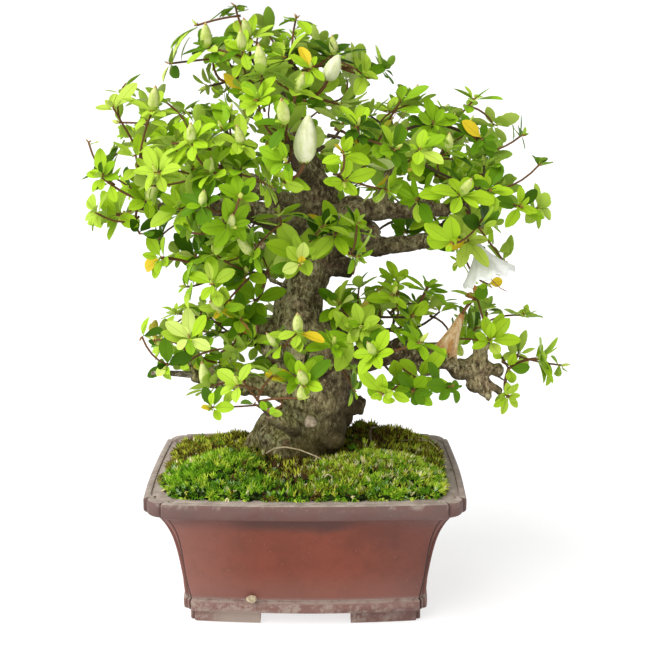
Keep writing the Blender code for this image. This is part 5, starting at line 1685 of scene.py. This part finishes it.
def build_small_buds(sprays):
    """A pointed terminal bud on many sprays, and brown bracts about its foot."""
    rule = random.Random(RANDOM_SEED * 3)
    outline = BUD_OUTLINE[::2] + BUD_OUTLINE[-1:]
    parts = []
    slots = []
    for end, axis in sprays:
        if rule.random() < 0.45:
            lean = np.array([rule.uniform(-0.3, 0.3) for _ in range(3)])
            length = rule.uniform(0.004, 0.0085)
            parts.append(spindle_arrays(end, unit(axis + lean), length, length * 0.36, outline))
            slots += spindle_slots(outline, 0.0, 0.85)
        for _ in range(rule.choice((1, 2, 2, 3))):
            lean = np.array([rule.uniform(-1.0, 1.0) for _ in range(3)])
            heading = unit(axis * 0.6 + lean)
            length = rule.uniform(0.0022, 0.0042)
            parts.append(spindle_arrays(end, heading, length, BRACT_WIDTH, outline))
            slots += [1] * (len(parts[-1][1]) - 1) + [2]
    return joined_piece("small_buds", parts, slots)


def build_white_buds():
    """White buds with petals wound about them."""
    parts = [spindle_arrays(base, heading, length, width, WHITE_BUD_OUTLINE, 0.13, 2.8)
             for base, heading, length, width in WHITE_BUDS]
    buds = object_from_arrays("white_buds", *join_arrays(parts))
    soften = buds.modifiers.new("Soften", "SUBSURF")
    soften.levels = 1
    soften.render_levels = 1
    bake_modifiers(buds)
    buds.data.shade_smooth()
    return buds


def build_sepals():
    """The green sepals that clasp the foot of each white bud."""
    shapes = []
    for base, heading, length, width in WHITE_BUDS:
        heading = unit(np.array(heading))
        across = unit(np.cross(heading, (0.3, 0.9, 0.1)))
        other = np.cross(heading, across)
        for number in range(SEPALS):
            turn = 2 * math.pi * number / SEPALS + 0.4
            outward = across * math.cos(turn) + other * math.sin(turn)
            foot = np.array(base) + outward * width * 0.15 - heading * 0.0005
            way = unit(heading * 0.74 + outward * 0.68)
            shapes.append(leaf_shape(foot, way, -outward, length * 0.4, width * 0.46,
                                     -1.0, 0.2, 0.0))
    return leaf_piece("sepals", shapes)


def corolla(name, place, sides, cleft, ruffle, pleats):
    """A funnel of joined petals with a thin wall, and lobes and ruffles at its mouth."""
    base, heading, rows = place
    heading = Vector(heading).normalized()
    ways = ways_about(heading, sides)
    points = []
    for distance, radius in rows:
        share = distance / rows[-1][0]
        for turn, way in ways:
            lobe = abs(math.cos(2.5 * turn)) ** 0.5
            reach = radius * (1.0 - cleft * share ** 3 * (1.0 - lobe))
            reach *= 1.0 + pleats * share * math.cos(7 * turn)
            lift = ruffle * share ** 2 * math.sin(9 * turn + 1.0)
            lift -= cleft * 0.008 * share * (1 - lobe)
            points.append(Vector(base) + heading * (distance + lift) + way * reach)
    flower = object_from_arrays(name, points, skin(len(rows), sides, 0))
    wall = flower.modifiers.new("Wall", "SOLIDIFY")
    wall.thickness = PETAL_THICKNESS
    wall.offset = 0.0
    bake_modifiers(flower)
    flower.data.shade_smooth()
    return flower


def curve_route(start, bend, end, start_radius, end_radius):
    """A tapering route from start to end that leans towards a bend."""
    route = []
    for step in range(TWIG_BENDS + 1):
        t = step / TWIG_BENDS
        place = (Vector(start) * (1 - t) ** 2 + Vector(bend) * 2 * t * (1 - t)
                 + Vector(end) * t ** 2)
        route.append((place, start_radius + (end_radius - start_radius) * t))
    return route


def nearest_end(sprays, place):
    """The end of the twig nearest to a place."""
    ends = np.array([end for end, _ in sprays])
    return ends[np.linalg.norm(ends - np.array(place), axis=1).argmin()]


def stalk_route(sprays, base, heading):
    """A short stalk to the foot of a bud or flower, from the nearest spray behind it."""
    base = Vector(base)
    heading = Vector(heading).normalized()
    start = Vector(nearest_end(sprays, base - heading * 0.012))
    bend = base - heading * (base - start).length * 0.5
    return curve_route(start, bend, base + heading * 0.0006, 0.001, 0.0011)


def loose_tubes(name, rows):
    return joined_piece(name, [tube_arrays(curve_route(*row), TWIG_SIDES) for row in rows])


def single_leaves(name, rows, sprays, bend, fold, twist):
    """Petals or dead leaves, each moved to the end of the twig nearest to its place."""
    shapes = [leaf_shape(nearest_end(sprays, base), unit(np.array(way)), unit(np.array(facing)),
                         length, width, bend, fold, twist)
              for base, way, facing, length, width in rows]
    return leaf_piece(name, shapes)


def build_crumbs():
    """Crumbs of moss and earth on the rim, flat where they would sink into it."""
    parts = []
    for place, radius in RIM_CRUMBS:
        points, faces = lump_arrays(place, radius)
        centre = Vector(place)
        rough = []
        for point in points:
            shift = noise.noise_vector(point * 900.0) * radius * 0.6
            spot = centre + (point - centre + shift)
            rough.append(Vector((spot.x, spot.y, max(spot.z, POT_HEIGHT))))
        parts.append((rough, faces))
    return object_from_arrays("rim_crumbs", *join_arrays(parts))


def build_pebble():
    """A dented pebble that sticks to the belt of the pot."""
    place, (width, depth, height) = PEBBLE
    form = bmesh.new()
    bmesh.ops.create_icosphere(form, subdivisions=3, radius=1.0)
    for vertex in form.verts:
        dent = 1.0 + 0.18 * noise.noise(vertex.co * 1.6) + 0.05 * noise.noise(vertex.co * 6.0)
        vertex.co = Vector(place) + Vector((vertex.co.x * width, vertex.co.y * depth,
                                            vertex.co.z * height)) * dent
    pebble = object_from_bmesh("belt_pebble", form)
    pebble.data.shade_smooth()
    return pebble


def build_extras(sprays):
    """Buds, flowers, petals, dead leaves and the loose things on pot and moss."""
    body = mottled_finish("bud_scales", (0.47, 0.57, 0.12), (0.65, 0.69, 0.28), 210.0, 0.6)
    foot = mottled_finish("bud_foot", (0.3, 0.44, 0.045), (0.47, 0.57, 0.1), 260.0, 0.6)
    tip = mottled_finish("bud_tip", (0.42, 0.23, 0.08), (0.6, 0.48, 0.2), 400.0, 0.6)
    finish_piece(build_large_buds(sprays), [body, foot, tip])
    young = plain_finish("new_shoot", (0.56, 0.64, 0.13), 0.6, gloss=0.1)
    bract = plain_finish("bract", (0.33, 0.17, 0.05), 0.7, gloss=0.1)
    bract_tip = plain_finish("bract_tip", (0.2, 0.08, 0.03), 0.7, gloss=0.1)
    finish_piece(build_small_buds(sprays), [young, bract, bract_tip])
    petal = mottled_finish("bud_petal", (0.62, 0.66, 0.33), (0.8, 0.81, 0.56), 210.0, 0.55,
                           streaked=True)
    white = mottled_finish("flower_petal", (0.86, 0.87, 0.8), (0.95, 0.95, 0.92),
                           150.0, 0.55)
    finish_piece(build_white_buds(), [petal])
    green = mottled_finish("sepal", (0.4, 0.52, 0.06), (0.56, 0.6, 0.12), 300.0, 0.6)
    rust = mottled_finish("sepal_rib", (0.42, 0.3, 0.08), (0.52, 0.42, 0.12), 300.0, 0.6)
    finish_piece(build_sepals(), [green, green, rust])
    flower = corolla("open_flower", OPEN_FLOWER, 50, 0.2, 0.002, 0.03)
    finish_piece(flower, [white])
    tan = mottled_finish("withered_petal", (0.64, 0.5, 0.29), (0.42, 0.2, 0.06), 170.0, 0.7,
                         streaked=True)
    withered = corolla("withered_flower", WITHERED_FLOWER, 42, 0.3, 0.0016, 0.24)
    finish_piece(withered, [tan])
    petals = single_leaves("petals", PETALS, sprays, 0.8, 0.25, 0.3)
    finish_piece(petals, [petal, petal, petal])
    dead = single_leaves("dead_leaves", DEAD_LEAVES, sprays, 1.2, 0.5, 0.8)
    russet = mottled_finish("dead_leaf", (0.43, 0.14, 0.03), (0.6, 0.33, 0.1), 300.0, 0.75)
    finish_piece(dead, [russet, russet, russet])
    shift = Vector(nearest_end(sprays, STAMENS[0][0])) - Vector(STAMENS[0][0])
    filaments = [(*[Vector(place) + shift for place in row], 0.0003, 0.00022)
                 for row in STAMENS[:-1]]
    stamens = loose_tubes("stamens", filaments + [(*STAMENS[-1], 0.00036, 0.00026)])
    finish_piece(stamens, [plain_finish("stamen", (0.3, 0.11, 0.08), 0.6)])
    straw = mottled_finish("straw_stem", (0.62, 0.52, 0.33), (0.38, 0.29, 0.16), 300.0, 0.7)
    finish_piece(loose_tubes("fallen_stems", FALLEN_STEMS), [straw])
    grey = mottled_finish("dead_shoot", (0.34, 0.3, 0.24), (0.11, 0.08, 0.055), 400.0, 0.85)
    finish_piece(loose_tubes("dead_shoots", DEAD_SHOOTS), [grey])
    stone = mottled_finish("pebble_stone", (0.56, 0.47, 0.31), (0.33, 0.26, 0.17), 260.0, 0.8)
    finish_piece(build_pebble(), [stone])
    crumb = mottled_finish("crumb_earth", (0.2, 0.21, 0.03), (0.08, 0.06, 0.025), 500.0, 0.95)
    finish_piece(build_crumbs(), [crumb])


# Assembly

def mass_stem(carrier, pads, routes, space):
    """The stem that a mass grows from, from its bough's tip or inside the trunk."""
    if isinstance(carrier, str):
        start = np.array(routes[carrier][-1][0])
        heading = unit(start - np.array(routes[carrier][-2][0]))
        start = start - heading * 0.002
    else:
        start = np.array(carrier, dtype=float)
        heading = unit(np.array(pads[0][0]) - start)
    gaps = np.linalg.norm(space.own[:, :3] - start, axis=1)
    middle = space.own[gaps.argmin(), :3]
    knee = start + heading * min(0.004, gaps.min() * 0.3)
    end = knee + (middle - knee) * 0.7
    return Twig(None, 0.0, start, end, 0.0)


def grow_crown(trunk, others, boughs):
    """All twigs as routes, the leaves of every spray dealt out by colour, and the sprays."""
    lobes = pad_lobes()
    limbs = limb_table([trunk] + others + list(boughs.values()))
    routes = dict(boughs)
    routes["trunk_tip"] = trunk
    twig_routes = []
    stems = []
    sprays = []
    names = [row[0] for row in LEAF_COLOURS]
    leaves = [[] for _ in names]
    for index, (mass, carrier, pads) in enumerate(MASSES):
        rule = np.random.default_rng(RANDOM_SEED * 100 + index)
        space = Space(mass, lobes, limbs)
        stem = mass_stem(carrier, pads, routes, space)
        twigs = grow_twigs(stem, place_sites(rule, mass, pads, space), space)
        for twig in twigs:
            route = twig_route(twig, rule)
            if twig.load > STEM_LOAD:
                stems.append(route)
            twig_routes.append(route)
            light = spray_light(twig, space)
            if twig is stem:
                continue
            axis = whorl_axis(twig, space)
            sprays.append((twig.end, axis))
            shade = pick_colour(rule, light)
            if names[shade] == "yellow":
                shade = names.index("bright")
            for shape in grow_whorl(rule, twig.end, np.array(route[-2][0]), axis, space):
                pick = shade if rule.random() < MAIN_COLOUR_SHARE else pick_colour(rule, light)
                leaves[pick].append(shape)
    for number, (place, facing, size, main_colour, odd_colour) in enumerate(FEATURE_WHORLS):
        rule = np.random.default_rng(RANDOM_SEED * 900 + number)
        axis = unit(np.array(facing))
        place = np.array(place)
        twig_routes.append(stalk_route(sprays, place, axis))
        shapes = grow_whorl(rule, place, place - axis * 0.003, axis, None, size)
        shapes.sort(key=lambda shape: shape[:, 0].min())
        leaves[names.index(odd_colour)].append(shapes[0])
        leaves[names.index(main_colour)] += shapes[1:]
    bearers = [row[:2] for row in WHITE_BUDS] + [OPEN_FLOWER[:2], WITHERED_FLOWER[:2]]
    twig_routes += [stalk_route(sprays, base, heading) for base, heading in bearers]
    return twig_routes, stems, leaves, sprays


def build_studio():
    """A pale floor, soft light from the upper left and the photo's camera."""
    form = bmesh.new()
    bmesh.ops.create_grid(form, x_segments=1, y_segments=1, size=FLOOR_HALF_SIZE)
    floor = object_from_bmesh("studio_floor", form)
    paper = Finish("studio_paper", (0.4, 0.4, 0.4), 0.9)
    grain = paper.noise(9.0, 2.0, 0.5)
    paper.colour(paper.blend(grain, (0.39, 0.39, 0.39), (0.41, 0.41, 0.41)))
    paper.shader.inputs["Emission Color"].default_value = (1.0, 1.0, 1.0, 1.0)
    paper.shader.inputs["Emission Strength"].default_value = FLOOR_GLOW
    floor.data.materials.append(paper.material)
    floor.location = (0.0, 0.0, -0.0002)

    world = bpy.data.worlds.new("studio")
    world.use_nodes = True
    sky = world.node_tree
    way = new_node(sky, "ShaderNodeTexCoord")
    parts = new_node(sky, "ShaderNodeSeparateXYZ", {"Vector": way.outputs["Generated"]})
    limits = dict(zip(("From Min", "From Max", "To Min", "To Max"), SKY_FALL))
    fall = new_node(sky, "ShaderNodeMapRange", {"Value": parts.outputs["Z"], **limits})
    background = sky.nodes["Background"]
    background.inputs["Color"].default_value = (1.0, 1.0, 1.0, 1.0)
    sky.links.new(fall.outputs["Result"], background.inputs["Strength"])
    bpy.context.scene.world = world

    lamp = bpy.data.lights.new("key_light", "SUN")
    lamp.energy = KEY_STRENGTH
    lamp.angle = math.radians(KEY_SOFTNESS)
    key = new_object("key_light", lamp)
    key.rotation_euler = Vector(KEY_HEADING).to_track_quat("-Z", "Y").to_euler()

    lens = bpy.data.cameras.new("photo_camera")
    lens.lens = PHOTO_LENS
    lens.sensor_width = 36.0
    camera = new_object("photo_camera", lens)
    camera.location = Vector(PHOTO_CAMERA) + SHIFT
    camera.rotation_euler = (math.radians(90 - PHOTO_PITCH), 0.0, 0.0)
    bpy.context.scene.camera = camera
    bpy.context.scene.view_settings.view_transform = "Standard"


def build_twigs(twig_routes):
    """All the twigs as one piece, with the older ones in a finish of their own."""
    parts = [tube_arrays(route, TWIG_SIDES) for route in twig_routes]
    ages = [1 if route[0][1] > OLD_TWIG_RADIUS else 0 for route in twig_routes]
    twigs = joined_piece("twigs", parts, np.repeat(ages, TWIG_BENDS * TWIG_SIDES + 2))
    young = plain_finish("young_twig", (0.17, 0.08, 0.034), 0.75, gloss=0.12)
    old = plain_finish("old_twig", (0.085, 0.056, 0.036), 0.85, gloss=0.12)
    finish_piece(twigs, [young, old], ["foliage_" + row[0] for row in MASSES])


def build_leaves(leaves):
    """One piece for each leaf colour, with upper side, underside and rib."""
    for (name, upper, under, *_), shapes in zip(LEAF_COLOURS, leaves):
        piece = leaf_piece("leaves_" + name, shapes)
        upper_side = plain_finish("leaf_" + name, upper, 0.38, gloss=0.03 + 0.14 * upper[0])
        underside = plain_finish("leaf_" + name + "_under", under, 0.7, gloss=0.06)
        # The rib darker than the blade: painted shade in the groove along it
        groove = tuple(low * 0.62 + high * 0.1 for low, high in zip(upper, under))
        rib = plain_finish("leaf_" + name + "_rib", groove, 0.65, gloss=0.06)
        finish_piece(piece, [upper_side, underside, rib])


def main():
    noise.seed_set(RANDOM_SEED)
    trunk, others, boughs = limb_routes()
    twig_routes, stems, leaves, sprays = grow_crown(trunk, others, boughs)

    finish_piece(build_pot(), [clay_finish()], ["pot"])
    soil = frame["nodes"]["soil"]
    soil.data.materials.clear()
    soil.data.materials.append(soil_finish())

    bed = build_moss_bed()
    for shoots, material in grow_moss_shoots(bed):
        finish_piece(shoots, [material])
    finish_piece(bed, [moss_bed_finish()], ["moss"])

    bark = build_bark(trunk, others, boughs, stems)
    finish_piece(bark, [bark_finish()], ["trunk"] + [row[0] for row in BOUGHS])
    red_cut = cut_wood_finish("red_cut", (0.15, 0.058, 0.03), (0.42, 0.17, 0.08))
    pale_cut = cut_wood_finish("pale_cut", (0.33, 0.25, 0.16), (0.62, 0.52, 0.38))
    finish_piece(build_cut_faces(), [red_cut, pale_cut])

    build_twigs(twig_routes)
    build_leaves(leaves)
    build_extras(sprays)
    build_studio()


main()
